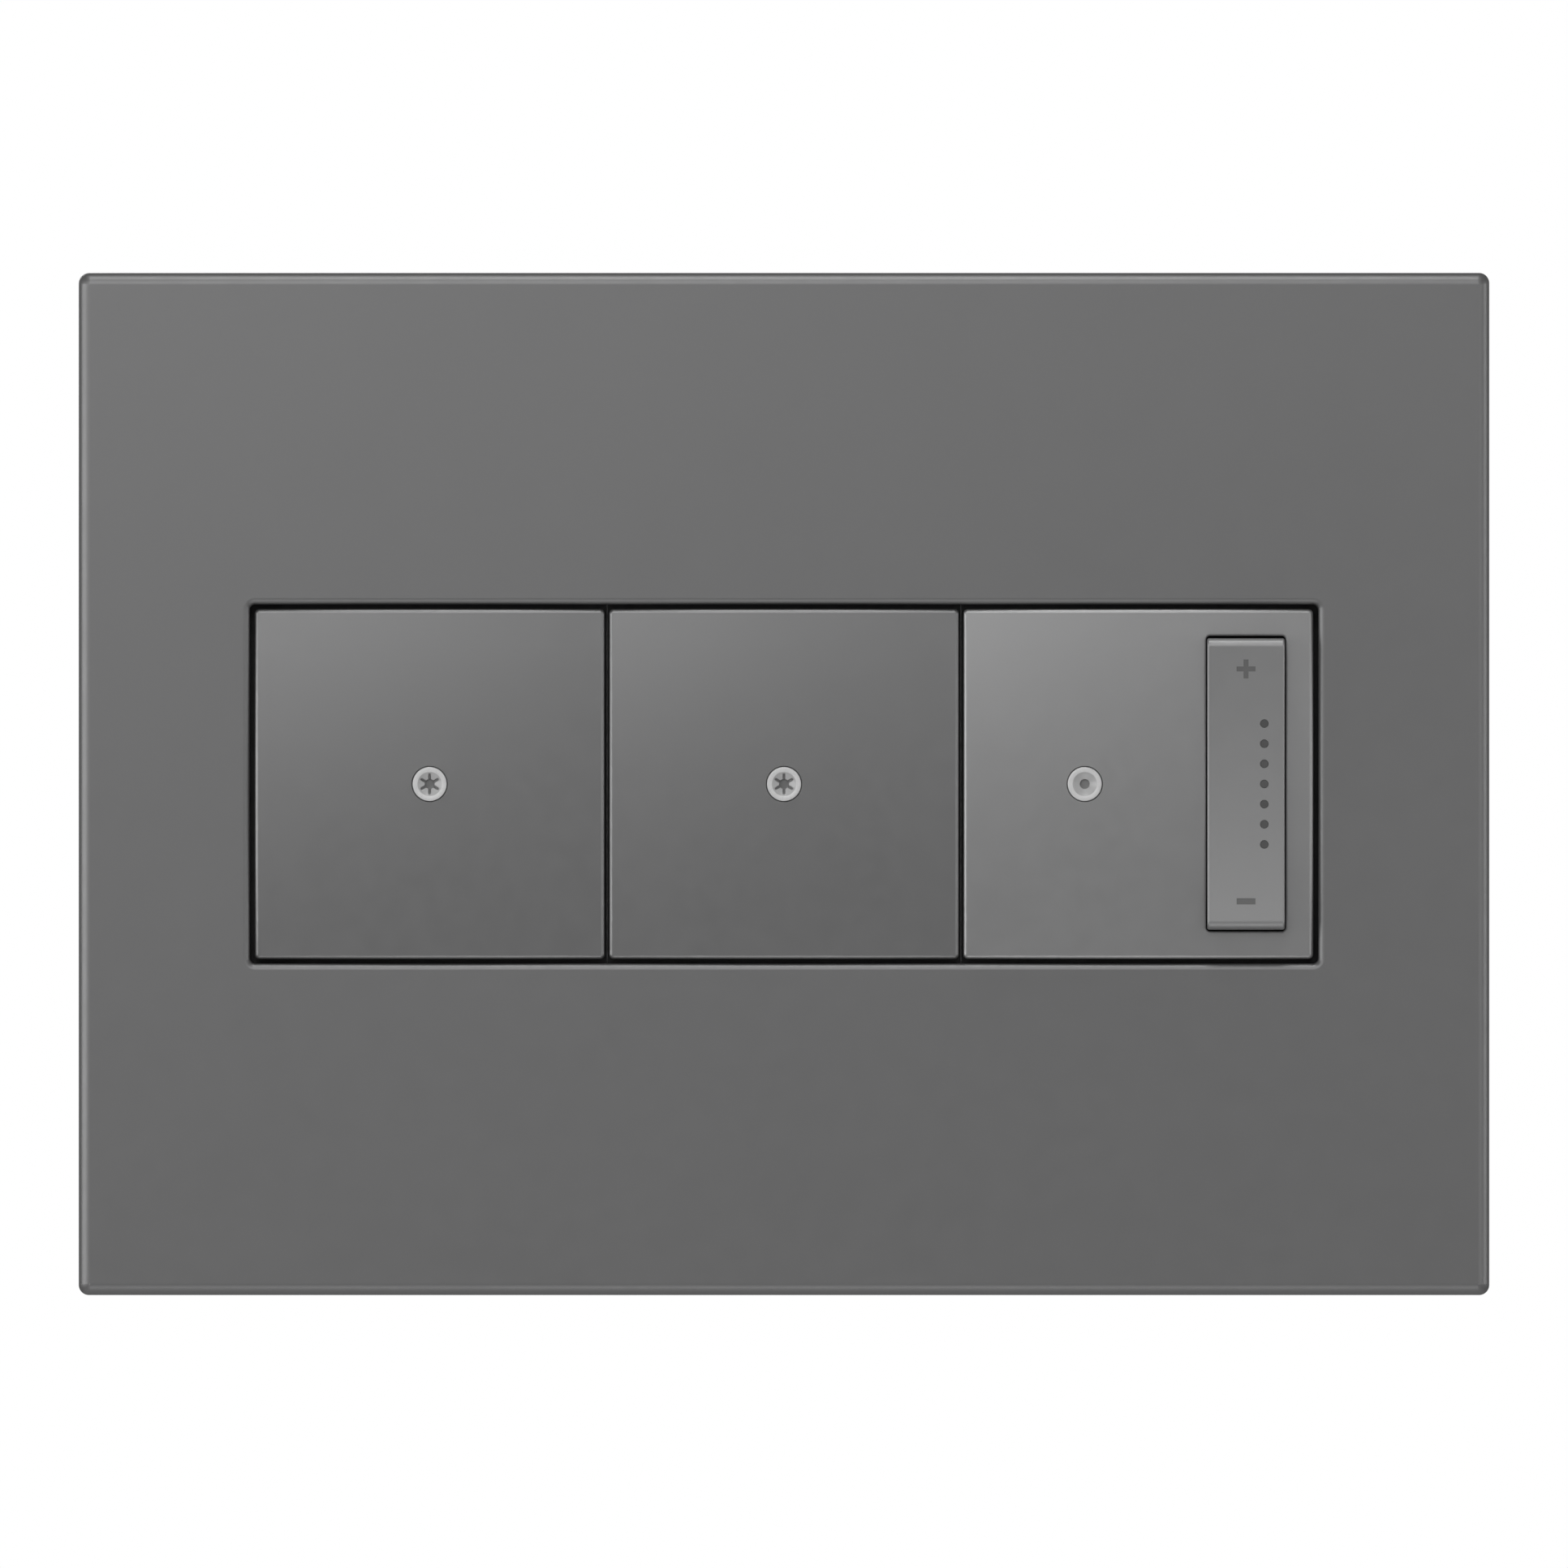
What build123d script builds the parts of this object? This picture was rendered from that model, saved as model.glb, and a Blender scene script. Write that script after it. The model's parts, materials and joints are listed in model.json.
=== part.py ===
"""A three-gang wall control: two tap switches and one tap dimmer behind a screwless cover plate.

The row frame is in millimetres: +X to the right and +Z up as seen from the room, +Y into the wall.
The origin is the centre of the wall plane that the cover plate's rim lies on.
Depths are given as heights h above the wall, so h = -y: a positive h is out in the room, and a
negative h is inside the wall box.
"""

import os
from math import copysign, cos, radians, sin

from build123d import *

os.makedirs("parts", exist_ok=True)

# ---- Cover plate
PLATE_W = 179.8
PLATE_H = 130.3
PLATE_DEPTH = 8.0
PLATE_WALL = 2.2
PLATE_RIM = 2.0
PLATE_CORNER_R = 1.3
PLATE_EDGE_R = 1.5
OPENING_W = 136.2
OPENING_H = 45.8
OPENING_CORNER_R = 0.7
OPENING_EDGE_R = 0.8
COLLAR_WALL = 1.6
COLLAR_BACK = 3.6
RIB_T = 1.2
RIB_DEPTH = 1.6
LONG_RIB_ZS = (-50.0, -30.5, 30.5, 50.0)
SHORT_RIB_XS = (-78.0, 78.0)

# ---- Steel mounting frame behind the plate
STRAP_BACK = 0.3
STRAP_T = 1.2
STRAP_FRONT = STRAP_BACK + STRAP_T
STRAP_W = 168.0
STRAP_H = 108.0
STRAP_CORNER_R = 4.0
STRAP_RIM_FRONT = 4.2
WINDOW_W = 134.0
WINDOW_H = 43.6
CROSSBAR_W = 2.0
GANG_PITCH = 46.04
SCREW_SPAN = 83.34
HOOK_XS = (-66.0, -23.02, 23.02, 66.0)
HOOK_Z = 36.0
HOOK_W = 8.0
HOOK_T = 1.6

# ---- Modules: square fronts on a 45 mm grid
MODULE_PITCH = 45.15
MODULE_XS = (-MODULE_PITCH, 0.0, MODULE_PITCH)
FACE = 44.6
FACE_CORNER_R = 0.6
FACE_EDGE_R = 0.5
FACE_H = 8.0
CROWN = 0.7
CROWN_R = (FACE / 2) ** 2 / (2 * CROWN)
FACE_T = 2.0
FACE_BACK = FACE_H - FACE_T
SKIRT_T = 1.2
SKIRT_BACK = 4.9

# ---- Paddle hinge
PIVOT_Z = 18.0
PIVOT_H = 3.9
TRUNNION_R = 0.9
RUNNING = 0.05
EAR_IN = 19.2
EAR_OUT = 20.9
EAR_R = 1.75
PUSH_Z = -14.0

# ---- Module front frame
FLANGE_W = 45.05
FLANGE_H = 60.0
# The outer modules' flanges reach this far behind the edge of the plate's opening.
FLANGE_LIP = 0.6
FLOOR_BACK = STRAP_FRONT
FLOOR_FRONT = FLOOR_BACK + 1.2
BODY = 42.4
BODY_WALL = 1.6
BODY_SPLIT = -5.0
BOSS_X = 18.2
BOSS_Z = 18.2
BOSS_R = 2.5
BOSS_HOLE_R = 1.05
HOOK_ROW_Z = -17.5
SNAP_X = 11.0
STANDOFF_R = 1.3

# ---- Ring light
LENS_R = 2.2
LENS_HOLE_R = 2.3
LENS_FLANGE_R = 3.3
LENS_BACK = 3.2
LIGHT_HOLE_R = 4.6
DISH_R = 1.55
DISH_EYE_R = 0.75
DISH_DEPTH = 0.9

# ---- Rear housing
SWITCH_BACK = -27.0
DIMMER_BACK = -33.0
HOUSING_WALL = 1.6
SHANK_HOLE_R = 1.25
HEAD_HOLE_R = 2.2
HEAD_HOLE_DEPTH = 3.0
CAVITY_X = 14.5
CAVITY_Z = 19.6
NOTCH_X = 17.3
NOTCH_H = -9.5
NOTCH_SPAN = 9.6
TERMINAL_Z = 10.0
TERMINAL_T = 1.0
TERMINAL_SCREW_H = -15.0
TERMINAL_HEAD_R = 3.3
TERMINAL_HEAD_X = 20.9

# ---- Boards
BOARD_FRONT = -3.0
BOARD_T = 1.2
BOARD_BACK = BOARD_FRONT - BOARD_T

# ---- Dimmer front
DIMMER_RING_X = -6.83
BAR_X = 13.7
BAR_W = 9.85
BAR_L = 37.1
BAR_SIDE_GAP = 0.13
BAR_TOP_GAP = 0.32
BAR_BOTTOM_GAP = 0.22
BAR_END_H = 10.3
BAR_MID_H = 9.3
BAR_SAG = BAR_END_H - BAR_MID_H
BAR_DISH_R = ((BAR_L / 2) ** 2 + BAR_SAG**2) / (2 * BAR_SAG)
BAR_BACK = 4.9
BAR_END_ROUND = 1.0
BAR_SIDE_ROUND = 0.25
BAR_SKIN = 1.4
BAR_SIDE = 1.0
BAR_END_WALL = 1.6
BAR_PIN_H = 3.6
BAR_PIN_R = 0.75
BAR_FOOT_Z = 14.0
DOT_X = 2.33
DOT_R = 0.5
DOT_PITCH = 2.565
DOT_COUNT = 7
SYMBOL_Z = 14.65
SYMBOL_SIZE = 2.4
SYMBOL_STROKE = 0.62
SYMBOL_DEPTH = 0.3
DOME_R = 2.6
DOME_TOP = -0.6

# ---- Switch mechanism
PLUNGER_R = 3.0
PLUNGER_TOP = 5.0
SPRING_R = 3.4
SPRING_WIRE_R = 0.35
SPRING_TURNS = 6
SHELF_FRONT = -12.5
SHELF_BACK = -14.0
ARM_H = -18.0
ARM_HALF = 13.0
ARM_REST_TILT = 4.0
ARM_PIN_R = 1.0
CONTACT_Z = 11.0
CONTACT_R = 1.6
CONTACT_T = 0.8
TONGUE_FRONT = -21.0
TONGUE_BACK = -22.0

LED_LENS_R = 1.1


def room_plane(h, x=0.0, z=0.0):
    """A plane facing the room at height h: its own x is +X and its own y is +Z."""
    return Plane(origin=(x, -h, z), x_dir=(1, 0, 0), z_dir=(0, -1, 0))


def side_plane(x, h=0.0, z=0.0):
    """A plane facing +X: its own x is +Y and its own y is +Z."""
    return Plane(origin=(x, -h, z), x_dir=(0, 1, 0), z_dir=(1, 0, 0))


def block(width, height, back, front, x=0.0, z=0.0, radius=0.0, mode=Mode.ADD):
    """A block between two heights, with its outline facing the room."""
    with BuildSketch(room_plane(back, x, z)) as outline:
        if radius:
            RectangleRounded(width, height, radius)
        else:
            Rectangle(width, height)
    extrude(outline.sketch, amount=front - back, mode=mode)


def peg(radius, back, front, x=0.0, z=0.0, mode=Mode.ADD):
    """A round peg, or hole, that stands straight out from the wall."""
    with BuildSketch(room_plane(back, x, z)) as outline:
        Circle(radius)
    extrude(outline.sketch, amount=front - back, mode=mode)


def rod(radius, start, end, h, z, mode=Mode.ADD):
    """A round rod, or bore, along X from start to end."""
    with BuildSketch(side_plane(start, h, z)) as outline:
        Circle(radius)
    extrude(outline.sketch, amount=end - start, mode=mode)


def prism(points, start, end, mode=Mode.ADD):
    """A prism along X whose side view is the polygon through points, each (h, z)."""
    with BuildSketch(side_plane(start)) as outline:
        with BuildLine():
            Polyline(*[(-h, z) for h, z in points], close=True)
        make_face()
    extrude(outline.sketch, amount=end - start, mode=mode)


def save(piece, name):
    """Labels a finished piece and writes it."""
    piece.label = name
    export_step(piece, f"parts/{name}.step")


def corners(x, dx, dz):
    """The four places at x +- dx and +- dz."""
    return [(x + sx * dx, sz * dz) for sx in (-1, 1) for sz in (-1, 1)]


# =================================================================== shared pieces


def wall_plate():
    """Cover plate: a shallow tray with a rounded rim, a collared opening, ribs and snap hooks."""
    with BuildPart() as plate:
        block(PLATE_W, PLATE_H, 0, PLATE_DEPTH, radius=PLATE_CORNER_R)
        face = plate.faces().sort_by(Axis.Y)[0]
        fillet(face.outer_wire().edges(), PLATE_EDGE_R)
        inner_w = PLATE_W - 2 * PLATE_RIM
        inner_h = PLATE_H - 2 * PLATE_RIM
        skin_back = PLATE_DEPTH - PLATE_WALL
        block(inner_w, inner_h, 0, skin_back, radius=0.6, mode=Mode.SUBTRACT)
        collar_w = OPENING_W + 2 * COLLAR_WALL
        collar_h = OPENING_H + 2 * COLLAR_WALL
        block(collar_w, collar_h, COLLAR_BACK, skin_back, radius=1.5)
        stiffening_ribs(inner_w, inner_h, skin_back)
        block(
            OPENING_W, OPENING_H, 0, PLATE_DEPTH, radius=OPENING_CORNER_R, mode=Mode.SUBTRACT
        )
        face = plate.faces().filter_by(Plane.XZ).sort_by(Axis.Y)[0]
        fillet(face.inner_wires()[0].edges(), OPENING_EDGE_R)
        for x in HOOK_XS:
            for side in (-1, 1):
                plate_hook(x, side, skin_back)
    save(plate.part, "wall_plate")


def stiffening_ribs(inner_w, inner_h, skin_back):
    """Two long ribs above and below the opening, and short ones beside it."""
    rib_back = skin_back - RIB_DEPTH
    for z in LONG_RIB_ZS:
        block(inner_w, RIB_T, rib_back, skin_back, z=z)
    for x in SHORT_RIB_XS:
        block(RIB_T, inner_h, rib_back, skin_back, x=x)


def plate_hook(x, side, skin_back):
    """A snap hook that reaches through the mounting frame and catches behind it."""
    barb_out = 1.3
    barb_front = STRAP_BACK - 0.15
    tip = -3.2
    near = side * (HOOK_Z - HOOK_T / 2)
    far = side * (HOOK_Z + HOOK_T / 2)
    outer = side * (HOOK_Z + HOOK_T / 2 + barb_out)
    profile = [
        (skin_back, near),
        (tip, near),
        (tip, far),
        (barb_front - 0.8, outer),
        (barb_front, outer),
        (barb_front, far),
        (skin_back, far),
    ]
    prism(profile, x - HOOK_W / 2, x + HOOK_W / 2)


def mounting_frame():
    """Pressed steel frame: a window for each module, slots for hooks and screws, a folded rim."""
    with BuildPart() as strap:
        block(STRAP_W, STRAP_H, STRAP_BACK, STRAP_RIM_FRONT, radius=STRAP_CORNER_R)
        block(
            STRAP_W - 2 * STRAP_T,
            STRAP_H - 2 * STRAP_T,
            STRAP_FRONT,
            STRAP_RIM_FRONT,
            radius=STRAP_CORNER_R - STRAP_T,
            mode=Mode.SUBTRACT,
        )
        block(WINDOW_W, WINDOW_H, STRAP_BACK, STRAP_FRONT, radius=1.0, mode=Mode.SUBTRACT)
        for x in (-MODULE_PITCH / 2, MODULE_PITCH / 2):
            block(CROSSBAR_W, WINDOW_H + 1.0, STRAP_BACK, STRAP_FRONT, x)
        for side in (-1, 1):
            strap_openings(side)
    save(strap.part, "mounting_frame")


def strap_openings(side):
    """Screw slots, hook slots and stiffening beads above (1) or below (-1) the window."""
    slot_l = 6.6
    slot_w = 4.0
    for gang in (-1, 0, 1):
        with BuildSketch(room_plane(STRAP_BACK, gang * GANG_PITCH, side * SCREW_SPAN / 2)) as slot:
            SlotOverall(slot_l, slot_w)
        extrude(slot.sketch, amount=STRAP_T, mode=Mode.SUBTRACT)
    hook_slot_w = HOOK_W + 1.0
    hook_slot_h = HOOK_T + 1.8
    hook_slot_z = side * (HOOK_Z + 0.5)
    for x in HOOK_XS:
        block(
            hook_slot_w, hook_slot_h, STRAP_BACK, STRAP_FRONT, x, hook_slot_z, 0.4, Mode.SUBTRACT
        )
    bead_l = 40.0
    bead_w = 3.0
    bead_rise = 0.6
    bead_z = side * 49.0
    for x in (-GANG_PITCH, GANG_PITCH):
        block(bead_l, bead_w, STRAP_FRONT, STRAP_FRONT + bead_rise, x, bead_z, 1.4)


def cross_recess(h_top, x, z, size, depth):
    """A cross recess with one long slot, cut into a screw head that faces the room."""
    blade = 0.9
    short = 0.62 * size
    block(size, blade, h_top - depth, h_top, x, z, mode=Mode.SUBTRACT)
    block(blade, short, h_top - depth, h_top, x, z, mode=Mode.SUBTRACT)


def box_screws():
    """Six captive screws, one above and one below each gang, with a reduced neck in the frame."""
    head_r = 3.5
    head_back = STRAP_FRONT + 0.02
    head_top = STRAP_FRONT + 2.1
    neck_r = 1.4
    thread_r = 1.75
    thread_end = -19.0
    tip_end = -20.5
    half_section = [
        (0, tip_end),
        (0.9, tip_end),
        (thread_r, thread_end),
        (thread_r, 0.05),
        (neck_r, STRAP_BACK - 0.05),
        (neck_r, head_back),
        (head_r, head_back),
        (head_r, head_back + 1.0),
        (head_r - 1.1, head_top),
        (0, head_top),
    ]
    with BuildPart() as screws:
        for gang in (-1, 0, 1):
            for side in (-1, 1):
                x = gang * GANG_PITCH
                z = side * SCREW_SPAN / 2
                turned(half_section, x, z)
                cross_recess(head_top, x, z, 4.6, 1.2)
    save(screws.part, "box_screws")


def turned(half_section, x, z):
    """A turned solid about the line through (x, z): half_section is a closed list of (radius, h)."""
    with BuildSketch(Plane(origin=(x, 0, z), x_dir=(1, 0, 0), z_dir=(0, 0, 1))) as section:
        with BuildLine():
            Polyline(*[(r, -h) for r, h in half_section], close=True)
        make_face()
    revolve(section.sketch, axis=Axis((x, 0, z), (0, 1, 0)))


# =================================================================== module fronts


def paddle_shell(paddle, x):
    """The square press plate: a crowned face with a rounded edge, a skirt and two hinge tabs."""
    block(FACE, FACE, SKIRT_BACK, FACE_H + 2 * CROWN, x, radius=FACE_CORNER_R)
    with Locations((x, CROWN_R - FACE_H - CROWN, 0)):
        Sphere(CROWN_R, mode=Mode.INTERSECT)
    crown = paddle.faces().sort_by(Axis.Y)[0]
    fillet(crown.outer_wire().edges(), FACE_EDGE_R)
    inner = FACE - 2 * SKIRT_T
    block(inner, inner, SKIRT_BACK, FACE_BACK, x, radius=0.4, mode=Mode.SUBTRACT)
    for side in (-1, 1):
        outer = side * FACE / 2
        inside = side * inner / 2
        tab = [
            (FACE_BACK, PIVOT_Z - 1.6),
            (PIVOT_H - TRUNNION_R, PIVOT_Z - 0.9),
            (PIVOT_H - TRUNNION_R, PIVOT_Z + 0.9),
            (FACE_BACK, PIVOT_Z + 1.6),
        ]
        prism(tab, x + inside, x + outer)
        rod(TRUNNION_R, x + inside, x + side * (EAR_IN + 0.1), PIVOT_H, PIVOT_Z)


def lens_seat(ring_x):
    """The hole for the ring light, with a locating boss round it on the back."""
    seat_r = LENS_FLANGE_R + 0.1
    seat_back = FACE_BACK - 1.4
    peg(seat_r + 0.8, seat_back, FACE_BACK + 0.2, ring_x)
    peg(seat_r, seat_back, FACE_BACK, ring_x, mode=Mode.SUBTRACT)
    peg(LENS_HOLE_R, seat_back, FACE_H + 2, ring_x, mode=Mode.SUBTRACT)


def retaining_hook(x):
    """A hook that passes through the floor and stops the paddle from lifting out."""
    half_w = 1.5
    near = HOOK_ROW_Z + 0.6
    far = HOOK_ROW_Z - 0.6
    barb_out = far - 0.8
    barb = FLOOR_BACK - 0.1
    tip = -0.6
    profile = [
        (FACE_BACK, near),
        (tip, near),
        (tip, far),
        (barb - 0.7, barb_out),
        (barb, barb_out),
        (barb, far),
        (FACE_BACK, far),
    ]
    prism(profile, x - half_w, x + half_w)


def back_ribs(x, zs, width):
    """Thin ribs that stiffen the back of a paddle."""
    rib_t = 0.9
    rib_depth = 0.7
    for z in zs:
        block(width, rib_t, FACE_BACK - rib_depth, FACE_BACK, x, z)


def ring_lens(name, x, crown_drop):
    """Moulded ring light: a dished front, a locating flange and a light pipe towards the board."""
    front = FACE_H + CROWN - crown_drop - 0.05
    with BuildPart() as lens:
        half_section = [
            (0, LENS_BACK),
            (1.5, LENS_BACK),
            (1.5, FACE_BACK - 0.9),
            (LENS_FLANGE_R, FACE_BACK - 0.9),
            (LENS_FLANGE_R, FACE_BACK),
            (LENS_R, FACE_BACK),
            (LENS_R, front - 0.12),
            (LENS_R - 0.12, front),
            (DISH_R, front - 0.08),
            (DISH_EYE_R, front - DISH_DEPTH),
            (0, front - DISH_DEPTH),
        ]
        turned(half_section, x, 0)
    save(lens.part, name)


def frame_shell(x):
    """Front frame: a flange over the steel frame, a floor, a skirt with screw bosses, hinge ears."""
    lip = copysign(FLANGE_LIP, x) if x else 0
    block(FLANGE_W + abs(lip), FLANGE_H, FLOOR_BACK, FLOOR_FRONT, x + lip / 2, radius=1.5)
    block(BODY, BODY, BODY_SPLIT, FLOOR_BACK, x, radius=2.0)
    inner = BODY - 2 * BODY_WALL
    block(inner, inner, BODY_SPLIT, FLOOR_BACK, x, radius=0.8, mode=Mode.SUBTRACT)
    for boss_x, boss_z in corners(x, BOSS_X, BOSS_Z):
        peg(BOSS_R, BODY_SPLIT, FLOOR_BACK, boss_x, boss_z)
        peg(BOSS_HOLE_R, BODY_SPLIT, 0.6, boss_x, boss_z, mode=Mode.SUBTRACT)
    for sx in (-1, 1):
        ear(x + sx * EAR_IN, x + sx * EAR_OUT, PIVOT_H, PIVOT_Z, EAR_R, TRUNNION_R + RUNNING)
        snap_barbs(x + sx * SNAP_X)


def ear(start, end, h, z, outer_r, bore_r):
    """An upright ear on the floor with a bore along X."""
    with BuildSketch(side_plane(start, h, z)) as outline:
        Circle(outer_r)
        foot = h - FLOOR_FRONT + 0.4
        with Locations((foot / 2, 0)):
            Rectangle(foot, 2 * outer_r)
        Circle(bore_r, mode=Mode.SUBTRACT)
    extrude(outline.sketch, amount=end - start)


def snap_barbs(x):
    """Wedges above and below that catch the frame's window from behind."""
    edge = BODY / 2
    for side in (-1, 1):
        wedge = [
            (STRAP_BACK - 0.1, side * (edge - 0.3)),
            (STRAP_BACK - 0.1, side * (edge + 1.6)),
            (-2.8, side * edge),
            (-2.8, side * (edge - 0.3)),
        ]
        prism(wedge, x - 3.5, x + 3.5)


def floor_slots(x, hook_xs):
    """Slots in the floor for the paddle's retaining hooks."""
    for dx in hook_xs:
        block(
            3.8, 2.3, FLOOR_BACK, FLOOR_FRONT, x + dx, HOOK_ROW_Z + 0.35, 0.2, Mode.SUBTRACT
        )


def housing_shell(housing, x, back):
    """Rear housing: a deep cup with a counterbored screw hole in each corner."""
    block(BODY, BODY, back, BODY_SPLIT, x, radius=2.0)
    rear = housing.faces().sort_by(Axis.Y)[-1]
    chamfer(rear.outer_wire().edges(), 0.6)
    block(
        2 * CAVITY_X,
        2 * CAVITY_Z,
        back + HOUSING_WALL,
        BODY_SPLIT,
        x,
        radius=1.0,
        mode=Mode.SUBTRACT,
    )
    for screw_x, screw_z in corners(x, BOSS_X, BOSS_Z):
        peg(SHANK_HOLE_R, back, BODY_SPLIT, screw_x, screw_z, mode=Mode.SUBTRACT)
        peg(HEAD_HOLE_R, back, back + HEAD_HOLE_DEPTH, screw_x, screw_z, mode=Mode.SUBTRACT)


def terminal_notch(x, sx, z, back):
    """Side notch for one terminal, open to the side and the rear, with a slot for its tongue."""
    depth = BODY / 2 - NOTCH_X + 1
    centre = x + sx * (NOTCH_X + depth / 2)
    block(depth, NOTCH_SPAN, back - 1, NOTCH_H, centre, z, 0.6, mode=Mode.SUBTRACT)
    bore_end = x + sx * (CAVITY_X + 0.6)
    rod(1.95, x + sx * NOTCH_X, bore_end, TERMINAL_SCREW_H, z, mode=Mode.SUBTRACT)
    tongue_mid = (TONGUE_FRONT + TONGUE_BACK) / 2
    slot_mid = x + sx * (CAVITY_X + NOTCH_X) / 2
    slot_w = NOTCH_X - CAVITY_X + 0.4
    block(slot_w, 5.3, tongue_mid - 0.6, tongue_mid + 0.6, slot_mid, z, mode=Mode.SUBTRACT)


def housing_screws(name, x, back):
    """Four self-tapping screws that hold the rear housing to the front frame."""
    head_r = 1.95
    head_back = back + 1.1
    head_front = back + HEAD_HOLE_DEPTH - 0.05
    shank_r = 1.0
    tip = 0.1
    slot_l = 2.6
    slot_w = 0.6
    slot_front = head_back + 0.8
    half_section = [
        (0, head_back),
        (1.5, head_back),
        (head_r, head_back + 0.5),
        (head_r, head_front),
        (shank_r, head_front),
        (shank_r, tip - 0.9),
        (0.3, tip),
        (0, tip),
    ]
    with BuildPart() as screws:
        for screw_x, screw_z in corners(x, BOSS_X, BOSS_Z):
            turned(half_section, screw_x, screw_z)
            block(slot_l, slot_w, head_back, slot_front, screw_x, screw_z, mode=Mode.SUBTRACT)
            block(slot_w, slot_l, head_back, slot_front, screw_x, screw_z, mode=Mode.SUBTRACT)
    save(screws.part, name)


def terminal_plate(x, sx, z):
    """The outer plate of a side terminal, with its screw hole."""
    outer = NOTCH_X + TERMINAL_T
    mid = x + sx * (NOTCH_X + outer) / 2
    plate_l = 8.2
    block(TERMINAL_T, plate_l, TONGUE_BACK, NOTCH_H - 1.1, mid, z)
    hole_start = x + sx * (NOTCH_X - 1)
    hole_end = x + sx * (outer + 1)
    rod(1.8, hole_start, hole_end, TERMINAL_SCREW_H, z, mode=Mode.SUBTRACT)


def tongue(x, sx, z, reach, half_height=2.5):
    """The flat tongue of a terminal, through the housing wall to reach millimetres from centre."""
    width = NOTCH_X - reach + 0.2
    mid = x + sx * (NOTCH_X + 0.2 + reach) / 2
    block(width, 2 * half_height, TONGUE_BACK, TONGUE_FRONT, mid, z)


def terminal_screws(name, x, places):
    """Side terminal screws, one at each (side, z)."""
    head_in = NOTCH_X + TERMINAL_T + 0.05
    head_out = TERMINAL_HEAD_X
    shank_end = CAVITY_X + 0.9
    shank_r = 1.7
    half_section = [
        (0, shank_end),
        (shank_r - 0.4, shank_end),
        (shank_r, shank_end + 0.5),
        (shank_r, head_in),
        (TERMINAL_HEAD_R, head_in),
        (TERMINAL_HEAD_R, head_out - 0.5),
        (TERMINAL_HEAD_R - 0.5, head_out),
        (0, head_out),
    ]
    recess_depth = 0.9
    blade = 0.5
    screw_h = TERMINAL_SCREW_H
    with BuildPart() as screws:
        for sx, z in places:
            centre = (x, -screw_h, z)
            with BuildSketch(Plane(origin=centre, x_dir=(1, 0, 0), z_dir=(0, 0, 1))):
                with BuildLine():
                    Polyline(*[(sx * along, r) for r, along in half_section], close=True)
                make_face()
            revolve(axis=Axis(centre, (1, 0, 0)))
            recess_x = x + sx * (head_out - recess_depth / 2)
            for span_z, half_h in ((4.8, blade), (2 * blade, 1.7)):
                back = screw_h - half_h
                front = screw_h + half_h
                block(recess_depth, span_z, back, front, recess_x, z, mode=Mode.SUBTRACT)
    save(screws.part, name)


def led(x, z, half_w, half_h, lens_r, height):
    """A surface-mounted lamp on the front of a board, with a domed lens."""
    block(2 * half_w, 2 * half_h, BOARD_FRONT, BOARD_FRONT + height, x, z)
    if lens_r:
        peg(lens_r, BOARD_FRONT + height, BOARD_FRONT + height + 0.4, x, z)


# =================================================================== tap switch


def tap_switch(name, x):
    """One tap switch module, centred on x."""
    switch_paddle(name, x)
    ring_lens(f"{name}_ring_lens", x, 0.0)
    switch_front_frame(name, x)
    switch_rear_housing(name, x)
    housing_screws(f"{name}_housing_screws", x, SWITCH_BACK)
    locator_light(name, x)
    push_mechanism(name, x)
    contact_arm(name, x)
    switch_terminals(name, x)
    live = [(-1, TERMINAL_Z), (1, TERMINAL_Z), (1, -TERMINAL_Z)]
    terminal_screws(f"{name}_terminal_screws", x, live)
    terminal_screws(f"{name}_ground_screw", x, [(-1, -TERMINAL_Z)])


def switch_paddle(name, x):
    """Square paddle with the ring light at its middle and a pusher below it."""
    with BuildPart() as paddle:
        paddle_shell(paddle, x)
        back_ribs(x, (-9.0, 9.0), FACE - 2 * SKIRT_T)
        lens_seat(x)
        peg(1.5, PLUNGER_TOP + 0.1, FACE_BACK, x, PUSH_Z)
        retaining_hook(x - 12)
        retaining_hook(x + 12)
    save(paddle.part, f"{name}_paddle")


def switch_front_frame(name, x):
    """Front frame with a plunger guide, a light window and stand-offs for the board."""
    with BuildPart() as frame:
        frame_shell(x)
        guide_r = PLUNGER_R + 0.1
        guide_front = FLOOR_FRONT + 0.6
        peg(LIGHT_HOLE_R, FLOOR_BACK, FLOOR_FRONT, x, mode=Mode.SUBTRACT)
        peg(guide_r + 1.1, FLOOR_FRONT, guide_front, x, PUSH_Z)
        peg(guide_r, FLOOR_BACK, guide_front, x, PUSH_Z, mode=Mode.SUBTRACT)
        floor_slots(x, (-12, 12))
        for standoff_x, dz in corners(x, 11.0, 6.0):
            peg(STANDOFF_R, BOARD_FRONT, FLOOR_BACK, standoff_x, 7.0 + dz)
    save(frame.part, f"{name}_front_frame")


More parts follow.
